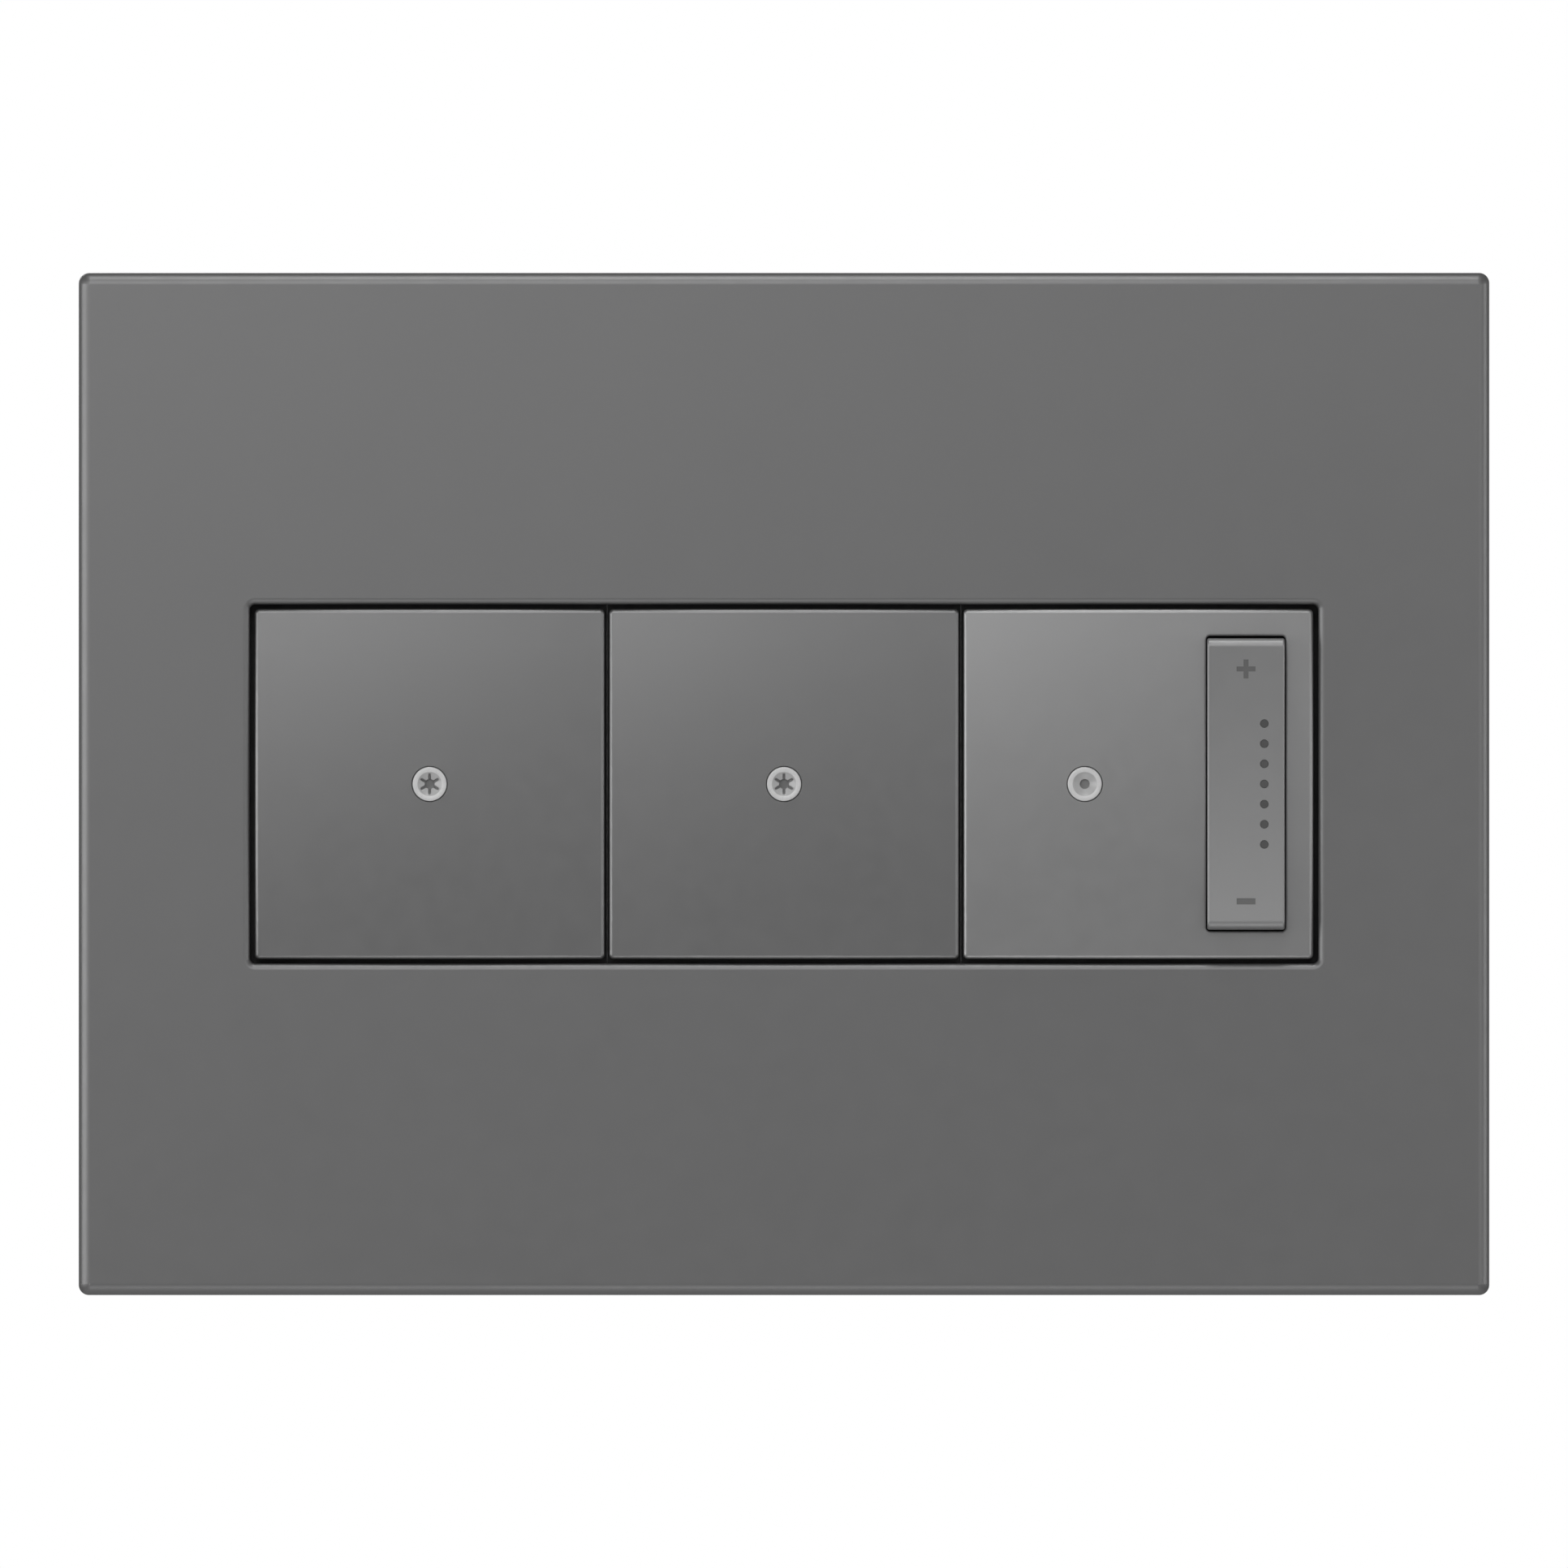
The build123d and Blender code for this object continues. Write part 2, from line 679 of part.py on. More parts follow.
def switch_rear_housing(name, x):
    """Rear housing with the spring shelf and the two posts that carry the contact arm's pin."""
    with BuildPart() as housing:
        housing_shell(housing, x, SWITCH_BACK)
        shelf_low = -CAVITY_Z
        shelf_high = -8.5
        shelf_mid = (shelf_low + shelf_high) / 2
        block(2 * CAVITY_X, shelf_high - shelf_low, SHELF_BACK, SHELF_FRONT, x, shelf_mid)
        peg(2.4, SHELF_BACK, SHELF_FRONT, x, PUSH_Z, mode=Mode.SUBTRACT)
        post_foot = SWITCH_BACK + HOUSING_WALL
        post_top = ARM_H + 1.8
        post = [(post_foot, -3.0), (post_top, -1.6), (post_top, 1.6), (post_foot, 3.0)]
        for sx in (-1, 1):
            start = x + sx * 5.0
            end = x + sx * 6.6
            prism(post, start, end)
            rod(ARM_PIN_R + 0.02, start, end, ARM_H, 0, mode=Mode.SUBTRACT)
            for sz in (-1, 1):
                terminal_notch(x, sx, sz * TERMINAL_Z, SWITCH_BACK)
    save(housing.part, f"{name}_rear_housing")


def locator_light(name, x):
    """Small board under the ring with its lamp."""
    with BuildPart() as board:
        block(27.0, 21.0, BOARD_BACK, BOARD_FRONT, x, 4.5, radius=0.8)
        for dx in (-8, -4, 4, 8):
            block(2.0, 1.2, BOARD_BACK - 0.6, BOARD_BACK, x + dx, 9)
    save(board.part, f"{name}_locator_board")
    with BuildPart() as lamp:
        led(x, 0, 1.75, 1.4, LED_LENS_R, 1.1)
    save(lamp.part, f"{name}_locator_led")


def push_mechanism(name, x):
    """Plunger under the paddle and the coil spring that returns it."""
    with BuildPart() as plunger:
        stem_r = 1.9
        stem_end = -13.2
        collar_r = 4.4
        half_section = [
            (0, stem_end),
            (stem_r - 0.5, stem_end),
            (stem_r, stem_end + 0.5),
            (stem_r, 0.0),
            (collar_r, 0.0),
            (collar_r, 1.2),
            (PLUNGER_R, 1.2),
            (PLUNGER_R, PLUNGER_TOP - 0.4),
            (PLUNGER_R - 0.4, PLUNGER_TOP),
            (0, PLUNGER_TOP),
        ]
        turned(half_section, x, PUSH_Z)
    save(plunger.part, f"{name}_plunger")
    top = -0.05 - SPRING_WIRE_R
    bottom = SHELF_FRONT + 0.05 + SPRING_WIRE_R
    length = top - bottom
    with BuildPart() as spring:
        with BuildLine() as coil:
            Helix(
                pitch=length / SPRING_TURNS,
                height=length,
                radius=SPRING_R,
                center=(x, -top, PUSH_Z),
                direction=(0, 1, 0),
            )
        with BuildSketch(Plane(origin=coil.line @ 0, z_dir=coil.line % 0)) as wire:
            Circle(SPRING_WIRE_R)
        sweep(wire.sketch, path=coil.line, is_frenet=True)
    save(spring.part, f"{name}_return_spring")


def contact_arm(name, x):
    """Rocking contact arm on its pin: at rest its upper contact is closed."""
    tilt = radians(-ARM_REST_TILT)
    # Rotating by tilt about +X takes (y, z) to (y cos - z sin, y sin + z cos).
    arm_plane = Plane(
        origin=(x, -ARM_H, 0), x_dir=(1, 0, 0), z_dir=(0, -cos(tilt), -sin(tilt))
    )
    arm_w = 5.0
    arm_t = 1.0
    hub_r = 2.0
    hub_half = 3.4
    pin_half = 7.2
    with BuildPart() as arm:
        with BuildSketch(arm_plane):
            RectangleRounded(arm_w, 2 * ARM_HALF, 1.0)
        extrude(amount=arm_t / 2, both=True)
        with BuildSketch(arm_plane.offset(-arm_t / 2 - CONTACT_T)):
            with Locations((0, CONTACT_Z), (0, -CONTACT_Z)):
                Circle(CONTACT_R)
        extrude(amount=CONTACT_T)
        rod(hub_r, x - hub_half, x + hub_half, ARM_H, 0)
        rod(ARM_PIN_R + RUNNING, x - 4, x + 4, ARM_H, 0, mode=Mode.SUBTRACT)
    save(arm.part, f"{name}_contact_arm")
    with BuildPart() as pin:
        rod(ARM_PIN_R, x - pin_half, x + pin_half, ARM_H, 0)
    save(pin.part, f"{name}_arm_pin")


def switch_terminals(name, x):
    """Common terminal to the arm's pin, two traveller terminals with fixed contacts, and ground."""
    with BuildPart() as common:
        terminal_plate(x, -1, TERMINAL_Z)
        tongue(x, -1, TERMINAL_Z, 8.2)
        block(3.0, 14.0, TONGUE_BACK, TONGUE_FRONT, x - 9.7, 5.5)
        block(1.0, 3.6, TONGUE_FRONT, ARM_H + 1.8, x - 8.7, 0.3)
        block(2.4, 3.6, ARM_H - 3.2, ARM_H - 2.2, x - 8.0, 0.3)
    save(common.part, f"{name}_common_terminal")
    with BuildPart() as travellers:
        for sz in (-1, 1):
            terminal_plate(x, 1, sz * TERMINAL_Z)
            tongue(x, 1, sz * TERMINAL_Z, -2.5)
            peg(CONTACT_R, TONGUE_FRONT, TONGUE_FRONT + 0.75, x, sz * CONTACT_Z)
    save(travellers.part, f"{name}_traveller_terminals")
    with BuildPart() as ground:
        terminal_plate(x, -1, -TERMINAL_Z)
        tongue(x, -1, -TERMINAL_Z, CAVITY_X - 2)
    save(ground.part, f"{name}_ground_terminal")


# =================================================================== dimmer


def dimmer(x):
    """The tap dimmer module, centred on x."""
    ring_x = x + DIMMER_RING_X
    bar_x = x + BAR_X
    dimmer_paddle(x, ring_x, bar_x)
    crown_drop = DIMMER_RING_X**2 / (2 * CROWN_R)
    ring_lens("dimmer_ring_lens", ring_x, crown_drop)
    dimmer_front_frame(x, ring_x, bar_x)
    level_bar(bar_x)
    dimmer_rear_housing(x)
    housing_screws("dimmer_housing_screws", x, DIMMER_BACK)
    dimmer_board(x, ring_x, bar_x)
    power_stage(x)
    choke(x + 3.4, 10.2)
    dimmer_terminals(x)


def dimmer_paddle(x, ring_x, bar_x):
    """Paddle with a tall window for the level bar beside the ring light."""
    with BuildPart() as paddle:
        paddle_shell(paddle, x)
        window_w = BAR_W + 2 * BAR_SIDE_GAP
        window_l = BAR_L + BAR_TOP_GAP + BAR_BOTTOM_GAP
        window_z = (BAR_TOP_GAP - BAR_BOTTOM_GAP) / 2
        block(window_w, window_l, SKIRT_BACK, FACE_H + 2, bar_x, window_z, 0.5, Mode.SUBTRACT)
        crown = paddle.faces().sort_by(Axis.Y)[0]
        fillet(crown.inner_wires()[0].edges(), 0.25)
        lens_seat(ring_x)
        back_ribs(x - 6.6, (-9.0, 9.0), 28.0)
        peg(1.8, DOME_TOP + 0.1, FACE_BACK, ring_x, PUSH_Z)
        retaining_hook(x - 12.5)
        retaining_hook(x + 3)
    save(paddle.part, "dimmer_paddle")


def dimmer_front_frame(x, ring_x, bar_x):
    """Front frame with windows for both lights, the pushers, and ears for the level bar's pin."""
    with BuildPart() as frame:
        frame_shell(x)
        peg(LIGHT_HOLE_R, FLOOR_BACK, FLOOR_FRONT, ring_x, mode=Mode.SUBTRACT)
        peg(2.6, FLOOR_BACK, FLOOR_FRONT, ring_x, PUSH_Z, mode=Mode.SUBTRACT)
        floor_slots(x, (-12.5, 3))
        for sz in (-1, 1):
            peg(2.3, FLOOR_BACK, FLOOR_FRONT, bar_x, sz * BAR_FOOT_Z, mode=Mode.SUBTRACT)
        block(BAR_W + 0.8, 4.8, FLOOR_BACK, FLOOR_FRONT, bar_x, 0, 0.3, Mode.SUBTRACT)
        light_slot = DOT_COUNT * DOT_PITCH
        block(2.0, light_slot, FLOOR_BACK, FLOOR_FRONT, bar_x + DOT_X, 0, mode=Mode.SUBTRACT)
        for sx in (-1, 1):
            ear(bar_x + sx * 5.3, bar_x + sx * 6.7, BAR_PIN_H, 0, 1.3, BAR_PIN_R + 0.02)
        for dx in (-15, 3):
            for z in (4, 15):
                peg(STANDOFF_R, BOARD_FRONT, FLOOR_BACK, x + dx, z)
    save(frame.part, "dimmer_front_frame")


def bar_dish(x, lift):
    """Cuts the hollow front of the level bar: a shallow cylinder across the bar, lift above it."""
    centre_h = BAR_MID_H + lift + BAR_DISH_R
    with BuildSketch(side_plane(x - BAR_W, centre_h, 0)) as disc:
        Circle(BAR_DISH_R)
    extrude(disc.sketch, amount=2 * BAR_W, mode=Mode.SUBTRACT)


def plus_and_minus(bar_x, back):
    """Plus near the top of the bar and minus near its bottom, as raised blocks or as recesses."""
    front = BAR_END_H + 1
    with BuildSketch(room_plane(back, bar_x, SYMBOL_Z)) as marks:
        Rectangle(SYMBOL_SIZE, SYMBOL_STROKE)
        Rectangle(SYMBOL_STROKE, SYMBOL_SIZE)
        with Locations((0, -2 * SYMBOL_Z - 0.3)):
            Rectangle(SYMBOL_SIZE, 1.25 * SYMBOL_STROKE)
    return marks.sketch, front - back


def dot_places():
    """Places of the level lights along the bar."""
    half = (DOT_COUNT - 1) / 2
    return [(n - half) * DOT_PITCH for n in range(DOT_COUNT)]


def level_bar(bar_x):
    """Rocking level bar with its symbols, light pipe and pin."""
    with BuildPart() as bar:
        block(BAR_W, BAR_L, BAR_BACK, BAR_END_H + 1, bar_x)
        bar_dish(bar_x, 0)
        face = bar.faces().sort_by(Axis.Y)[0]
        fillet(face.edges().filter_by(Axis.X), BAR_END_ROUND)
        for side in (0, -1):
            outline = bar.faces().sort_by(Axis.X)[side].edges().sort_by(Axis.Y)
            fillet(outline[:-1], BAR_SIDE_ROUND)
        cavity_w = BAR_W - 2 * BAR_SIDE
        cavity_l = BAR_L - 2 * BAR_END_WALL
        skin_back = BAR_MID_H - BAR_SKIN
        block(cavity_w, cavity_l, BAR_BACK, skin_back, bar_x, radius=0.5, mode=Mode.SUBTRACT)
        block(cavity_w + 0.4, 3.4, BAR_PIN_H, skin_back, bar_x)
        rod(1.7, bar_x - BAR_W / 2, bar_x + BAR_W / 2, BAR_PIN_H, 0)
        block(2.6, 3.6, BAR_PIN_H, skin_back, bar_x + DOT_X, 0, mode=Mode.SUBTRACT)
        rod(BAR_PIN_R + RUNNING, bar_x - 6, bar_x + 6, BAR_PIN_H, 0, mode=Mode.SUBTRACT)
        for sz in (-1, 1):
            peg(1.5, DOME_TOP + 0.1, skin_back, bar_x, sz * BAR_FOOT_Z)
        for z in dot_places():
            peg(DOT_R + 0.04, skin_back, BAR_END_H, bar_x + DOT_X, z, mode=Mode.SUBTRACT)
        marks, depth = plus_and_minus(bar_x, BAR_MID_H - SYMBOL_DEPTH + 0.6)
        extrude(marks, amount=depth, mode=Mode.SUBTRACT)
    save(bar.part, "dimmer_level_bar")
    with BuildPart() as symbols:
        marks, depth = plus_and_minus(bar_x, BAR_MID_H - SYMBOL_DEPTH + 0.6)
        extrude(marks, amount=depth)
        bar_dish(bar_x, -0.06)
    save(symbols.part, "dimmer_level_symbols")
    with BuildPart() as pipe:
        for z in dot_places():
            peg(DOT_R, 6.4, BAR_END_H + 0.5, bar_x + DOT_X, z)
        bar_dish(bar_x, -0.05)
        block(1.8, DOT_COUNT * DOT_PITCH - 0.6, 6.0, 7.6, bar_x + DOT_X)
    save(pipe.part, "dimmer_level_light_pipe")
    with BuildPart() as pin:
        rod(BAR_PIN_R, bar_x - 6.7, bar_x + 6.7, BAR_PIN_H, 0)
    save(pin.part, "dimmer_level_pin")


def dimmer_rear_housing(x):
    """Deeper rear housing with vent slots and three terminal notches."""
    with BuildPart() as housing:
        housing_shell(housing, x, DIMMER_BACK)
        for sx, sz in ((-1, 1), (-1, -1), (1, 1)):
            terminal_notch(x, sx, sz * TERMINAL_Z, DIMMER_BACK)
        for n in range(-3, 4):
            block(
                18.0,
                1.8,
                DIMMER_BACK,
                DIMMER_BACK + HOUSING_WALL,
                x,
                n * 4.2,
                0.8,
                mode=Mode.SUBTRACT,
            )
    save(housing.part, "dimmer_rear_housing")


def dimmer_board(x, ring_x, bar_x):
    """Circuit board with its lamps, rubber domes and controller chip."""
    with BuildPart() as board:
        size = 38.6
        cut = 7.6
        block(size, size, BOARD_BACK, BOARD_FRONT, x)
        for cut_x, cut_z in corners(x, size / 2, size / 2):
            block(cut, cut, BOARD_BACK, BOARD_FRONT, cut_x, cut_z, mode=Mode.SUBTRACT)
        for n in range(6):
            block(1.6, 0.9, BOARD_BACK - 0.5, BOARD_BACK, x - 12 + 2.6 * n, -4)
    save(board.part, "dimmer_circuit_board")
    with BuildPart() as ring_led:
        led(ring_x, 0, 1.75, 1.4, LED_LENS_R, 1.1)
    save(ring_led.part, "dimmer_ring_led")
    with BuildPart() as level_leds:
        for z in dot_places():
            led(bar_x + DOT_X, z, 0.8, 0.45, 0, 0.6)
    save(level_leds.part, "dimmer_level_leds")
    with BuildPart() as paddle_dome:
        rubber_dome(ring_x, PUSH_Z)
    save(paddle_dome.part, "dimmer_paddle_dome")
    with BuildPart() as bar_domes:
        rubber_dome(bar_x, BAR_FOOT_Z)
        rubber_dome(bar_x, -BAR_FOOT_Z)
    save(bar_domes.part, "dimmer_level_domes")
    chip_x = x - 9.2
    chip_z = 4.0
    with BuildPart() as chip:
        block(7.0, 7.0, BOARD_BACK - 1.4, BOARD_BACK, chip_x, chip_z)
        for n in range(-3, 4):
            block(8.6, 0.35, BOARD_BACK - 0.5, BOARD_BACK, chip_x, chip_z + 0.8 * n)
    save(chip.part, "dimmer_controller_chip")


def rubber_dome(x, z):
    """A silicone key dome on the front of the board."""
    half_section = [
        (0, BOARD_FRONT),
        (DOME_R, BOARD_FRONT),
        (DOME_R, BOARD_FRONT + 0.5),
        (1.7, BOARD_FRONT + 1.4),
        (1.7, DOME_TOP),
        (0, DOME_TOP),
    ]
    turned(half_section, x, z)


def power_stage(x):
    """Heat sink on the back wall, the power switch screwed to it, and the filter capacitor."""
    sink_back = DIMMER_BACK + HOUSING_WALL
    sink_front = sink_back + 1.5
    triac_x = x - 4.0
    screw_z = -14.4
    with BuildPart() as sink:
        block(28.4, 38.4, sink_back, sink_front, x, radius=0.8)
        block(1.5, 38.4, sink_back, -10.0, x + 13.45)
        peg(1.3, sink_back, sink_front, triac_x, screw_z, mode=Mode.SUBTRACT)
    save(sink.part, "dimmer_heat_sink")
    with BuildPart() as triac:
        block(10.0, 15.4, sink_front, sink_front + 1.3, triac_x, -10.3)
        block(10.0, 9.0, sink_front + 1.3, sink_front + 4.4, triac_x, -7.1)
        peg(1.6, sink_front, sink_front + 1.3, triac_x, screw_z, mode=Mode.SUBTRACT)
        for dx in (-2.54, 0, 2.54):
            lead_h = sink_front + 2.4
            block(0.8, 2.6, lead_h, lead_h + 0.5, triac_x + dx, -1.4)
            block(0.8, 0.5, lead_h, BOARD_BACK, triac_x + dx, -0.3)
    save(triac.part, "dimmer_triac")
    with BuildPart() as screw:
        peg(2.6, sink_front + 1.35, sink_front + 3.2, triac_x, screw_z)
        rim = screw.faces().sort_by(Axis.Y)[0]
        chamfer(rim.outer_wire().edges(), 0.4)
        peg(1.25, sink_back + 0.1, sink_front + 1.35, triac_x, screw_z)
        cross_recess(sink_front + 3.2, triac_x, screw_z, 3.4, 0.9)
    save(screw.part, "dimmer_triac_screw")
    with BuildPart() as capacitor:
        block(12.0, 6.0, -17.0, BOARD_BACK - 0.2, x + 4.0, -12.0)
        fillet(capacitor.edges().filter_by(Axis.Y), 0.8)
        for dx in (-5, 5):
            peg(0.35, BOARD_BACK - 0.2, BOARD_BACK, x + 4.0 + dx, -12.0)
    save(capacitor.part, "dimmer_film_capacitor")


def choke(x, z):
    """Ring core and its winding, which lie flat against the back of the board."""
    outer_r = 8.0
    inner_r = 4.4
    core_front = BOARD_BACK - 1.6
    core_back = core_front - 6.0
    with BuildPart() as core:
        peg(outer_r, core_back, core_front, x, z)
        peg(inner_r, core_back, core_front, x, z, mode=Mode.SUBTRACT)
        ends = core.edges().filter_by(GeomType.CIRCLE)
        fillet(ends, 0.5)
    save(core.part, "dimmer_choke_core")
    turns = 14
    wire = 0.8
    mid_r = (outer_r + inner_r) / 2
    mid_h = (core_front + core_back) / 2
    loop_w = outer_r - inner_r + 0.3
    loop_l = core_front - core_back + 0.3
    with BuildPart() as winding:
        for n in range(turns):
            angle = radians(20 + n * 320 / (turns - 1))
            spoke = Plane(
                origin=(x + mid_r * cos(angle), -mid_h, z + mid_r * sin(angle)),
                x_dir=(cos(angle), 0, sin(angle)),
                z_dir=(-sin(angle), 0, cos(angle)),
            )
            with BuildSketch(spoke):
                RectangleRounded(loop_w + 2 * wire, loop_l + 2 * wire, 1.0)
                RectangleRounded(loop_w, loop_l, 0.4, mode=Mode.SUBTRACT)
            extrude(amount=wire / 2, both=True)
    save(winding.part, "dimmer_choke_winding")


def dimmer_terminals(x):
    """Line, load and ground terminals of the dimmer."""
    with BuildPart() as terminals:
        for sx, sz in ((-1, 1), (-1, -1), (1, 1)):
            terminal_plate(x, sx, sz * TERMINAL_Z)
            tongue(x, sx, sz * TERMINAL_Z, CAVITY_X - 1.0 if sx < 0 else CAVITY_X + 0.3)
    save(terminals.part, "dimmer_terminals")
    terminal_screws("dimmer_terminal_screws", x, [(-1, TERMINAL_Z), (1, TERMINAL_Z)])
    terminal_screws("dimmer_ground_screw", x, [(-1, -TERMINAL_Z)])


wall_plate()
mounting_frame()
box_screws()
tap_switch("switch_1", MODULE_XS[0])
tap_switch("switch_2", MODULE_XS[1])
dimmer(MODULE_XS[2])
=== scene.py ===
import json
from math import atan2, cos, hypot, pi, radians, sin

import bmesh
import bpy
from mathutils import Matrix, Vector


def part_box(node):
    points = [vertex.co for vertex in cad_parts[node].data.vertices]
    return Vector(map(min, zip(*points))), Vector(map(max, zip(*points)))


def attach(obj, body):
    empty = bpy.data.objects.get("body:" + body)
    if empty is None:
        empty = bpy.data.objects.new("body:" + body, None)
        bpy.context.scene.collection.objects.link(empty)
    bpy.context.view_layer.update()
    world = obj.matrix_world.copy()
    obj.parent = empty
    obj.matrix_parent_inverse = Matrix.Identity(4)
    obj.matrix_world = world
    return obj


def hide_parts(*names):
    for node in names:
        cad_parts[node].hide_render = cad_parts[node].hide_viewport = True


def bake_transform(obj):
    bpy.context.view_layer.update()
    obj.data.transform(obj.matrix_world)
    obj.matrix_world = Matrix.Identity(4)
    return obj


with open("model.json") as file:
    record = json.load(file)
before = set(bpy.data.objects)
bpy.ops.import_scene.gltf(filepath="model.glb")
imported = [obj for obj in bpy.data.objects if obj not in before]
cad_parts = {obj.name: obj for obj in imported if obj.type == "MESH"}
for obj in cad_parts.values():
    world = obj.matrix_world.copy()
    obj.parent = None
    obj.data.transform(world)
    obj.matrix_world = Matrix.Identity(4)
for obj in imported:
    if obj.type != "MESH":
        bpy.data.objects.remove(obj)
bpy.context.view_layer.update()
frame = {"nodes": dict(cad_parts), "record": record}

MM = 0.001
SWITCHES = ("switch_1", "switch_2")
MODULES = SWITCHES + ("dimmer",)
# The dimmer's paddle takes a lighter copy of the switches' paint, which is painted light. Its level
# bar takes a paint of its own.
DIMMER_PAINTS = {"dimmer_paddle": "dimmer_lit_face", "dimmer_level_bar": "dimmer_bar"}
DOME_PUSHERS = (("dimmer_paddle_dome", "dimmer_paddle"), ("dimmer_level_domes", "dimmer_level_bar"))

# Camera: the width of the view at the plate's front and the distance to it in metres, and the
# sensor's width in millimetres.
VIEW_WIDTH = 0.1998
CAMERA_DISTANCE = 4.0
SENSOR = 36.0
PLATE_FRONT = 8.0 * MM

# Paints: base greys, roughness, and how metallic the lacquer is.
PLATE_GREY = 0.191
SWITCH_GREY = 0.217
# Painted light: the dimmer's grey is a lighter copy of the switches' paint, for the extra light that
# falls on the dimmer's paddle.
DIMMER_LIT_GREY = 0.308
PLATE_ROUGHNESS = 0.44
SWITCH_ROUGHNESS = 0.38
BAR_GREY = 0.285
BAR_ROUGHNESS = 0.45
PAINT_METAL = 0.75

# Softboxes: name, degrees off the camera's line, towards (right, up), watts.
LIGHT_DISTANCE = 0.7
LIGHT_SIZE = 0.3
SOFTBOXES = (
    ("above", 30, (0, 1), 0.72),
    ("high_above", 70, (0, 1), 1.27),
    ("upper_left", 25, (-1, 1), 0.51),
    ("left", 50, (-1, 0), 0.77),
    ("far_left", 75, (-1, 0), 0.80),
    ("right", 35, (1, 0), 0.39),
    ("far_right", 80, (1, 0), 0.63),
    ("below", 42, (0, -1), 0.45),
    ("behind", 150, (-1, 1), 1.10),
)

# Surroundings: even light, and the backdrop and floor as the camera sees them.
WORLD_LIGHT = 0.235
BACKDROP = 1.0
FLOOR_GLOW = 0.72
FLOOR_HALF_SIZE = 4.0
FLOOR_PLACE = (0, -0.3, -0.6)


# ------------------------------------------------------------------ materials


class Shader:
    """Builds one node material: a Principled shader whose colour, roughness and relief vary."""

    def __init__(self, name, colour, roughness, metallic=0.0, **constants):
        self.material = bpy.data.materials.new(name)
        self.material.use_nodes = True
        self.tree = self.material.node_tree
        self.bsdf = self.tree.nodes["Principled BSDF"]
        self.colour = tuple(colour) + (1.0,)
        self.bsdf.inputs["Base Color"].default_value = self.colour
        self.bsdf.inputs["Roughness"].default_value = roughness
        self.bsdf.inputs["Metallic"].default_value = metallic
        for socket, value in constants.items():
            self.bsdf.inputs[socket.replace("_", " ")].default_value = value
        self.base_roughness = roughness
        self.coordinates = self.tree.nodes.new("ShaderNodeTexCoord").outputs["Object"]
        self.normal = None
        self.material.diffuse_color = self.colour

    def link(self, out, into):
        self.tree.links.new(out, into)

    def noise(self, size_mm, detail=3.0, stretch=(1, 1, 1), roughness=0.5):
        """Noise whose features are about size_mm across, drawn out along the axes in stretch."""
        mapping = self.tree.nodes.new("ShaderNodeMapping")
        mapping.inputs["Scale"].default_value = [1.0 / s for s in stretch]
        self.link(self.coordinates, mapping.inputs["Vector"])
        noise = self.tree.nodes.new("ShaderNodeTexNoise")
        noise.inputs["Scale"].default_value = 1.0 / (size_mm * MM)
        noise.inputs["Detail"].default_value = detail
        noise.inputs["Roughness"].default_value = roughness
        self.link(mapping.outputs["Vector"], noise.inputs["Vector"])
        return noise.outputs["Fac"]

    def cells(self, size_mm, feature="F1"):
        """Cell pattern whose cells are about size_mm across."""
        cells = self.tree.nodes.new("ShaderNodeTexVoronoi")
        cells.feature = feature
        cells.inputs["Scale"].default_value = 1.0 / (size_mm * MM)
        self.link(self.coordinates, cells.inputs["Vector"])
        return cells

    def ranged(self, value, low, high, from_low=0.3, from_high=0.7):
        """The value, mapped from its usual span to low..high."""
        node = self.tree.nodes.new("ShaderNodeMapRange")
        node.inputs["From Min"].default_value = from_low
        node.inputs["From Max"].default_value = from_high
        node.inputs["To Min"].default_value = low
        node.inputs["To Max"].default_value = high
        self.link(value, node.inputs["Value"])
        return node.outputs["Result"]

    def mix(self, factor, dark, light):
        """A colour between dark and light; either may be a colour or a socket."""
        node = self.tree.nodes.new("ShaderNodeMix")
        node.data_type = "RGBA"
        self.link(factor, node.inputs["Factor"])
        for name, value in (("A", dark), ("B", light)):
            socket = [s for s in node.inputs if s.name == name and s.type == "RGBA"][0]
            if isinstance(value, (tuple, list)):
                socket.default_value = tuple(value)[:3] + (1.0,)
            else:
                self.link(value, socket)
        return [s for s in node.outputs if s.type == "RGBA"][0]

    def tint(self, share, size_mm=6.0, **noise):
        """Cloudy variation of the base colour by plus or minus share."""
        dark = [c * (1 - share) for c in self.colour[:3]]
        light = [c * (1 + share) for c in self.colour[:3]]
        clouds = self.ranged(self.noise(size_mm, **noise), 0.0, 1.0)
        self.paint(self.mix(clouds, dark, light))
        return self

    def paint(self, socket):
        """The base colour from a socket."""
        self.link(socket, self.bsdf.inputs["Base Color"])
        return self

    def gloss(self, share, size_mm=1.5, **noise):
        """Roughness that varies by plus or minus share."""
        low = self.base_roughness - share
        high = self.base_roughness + share
        self.link(self.ranged(self.noise(size_mm, **noise), low, high), self.bsdf.inputs["Roughness"])
        return self

    def relief(self, height, depth_mm, strength=1.0):
        """Adds a fine relief of the given depth on top of what is there."""
        bump = self.tree.nodes.new("ShaderNodeBump")
        bump.inputs["Strength"].default_value = strength
        bump.inputs["Distance"].default_value = depth_mm * MM
        self.link(height, bump.inputs["Height"])
        if self.normal is not None:
            self.link(self.normal, bump.inputs["Normal"])
        self.normal = bump.outputs["Normal"]
        self.link(self.normal, self.bsdf.inputs["Normal"])
        return self


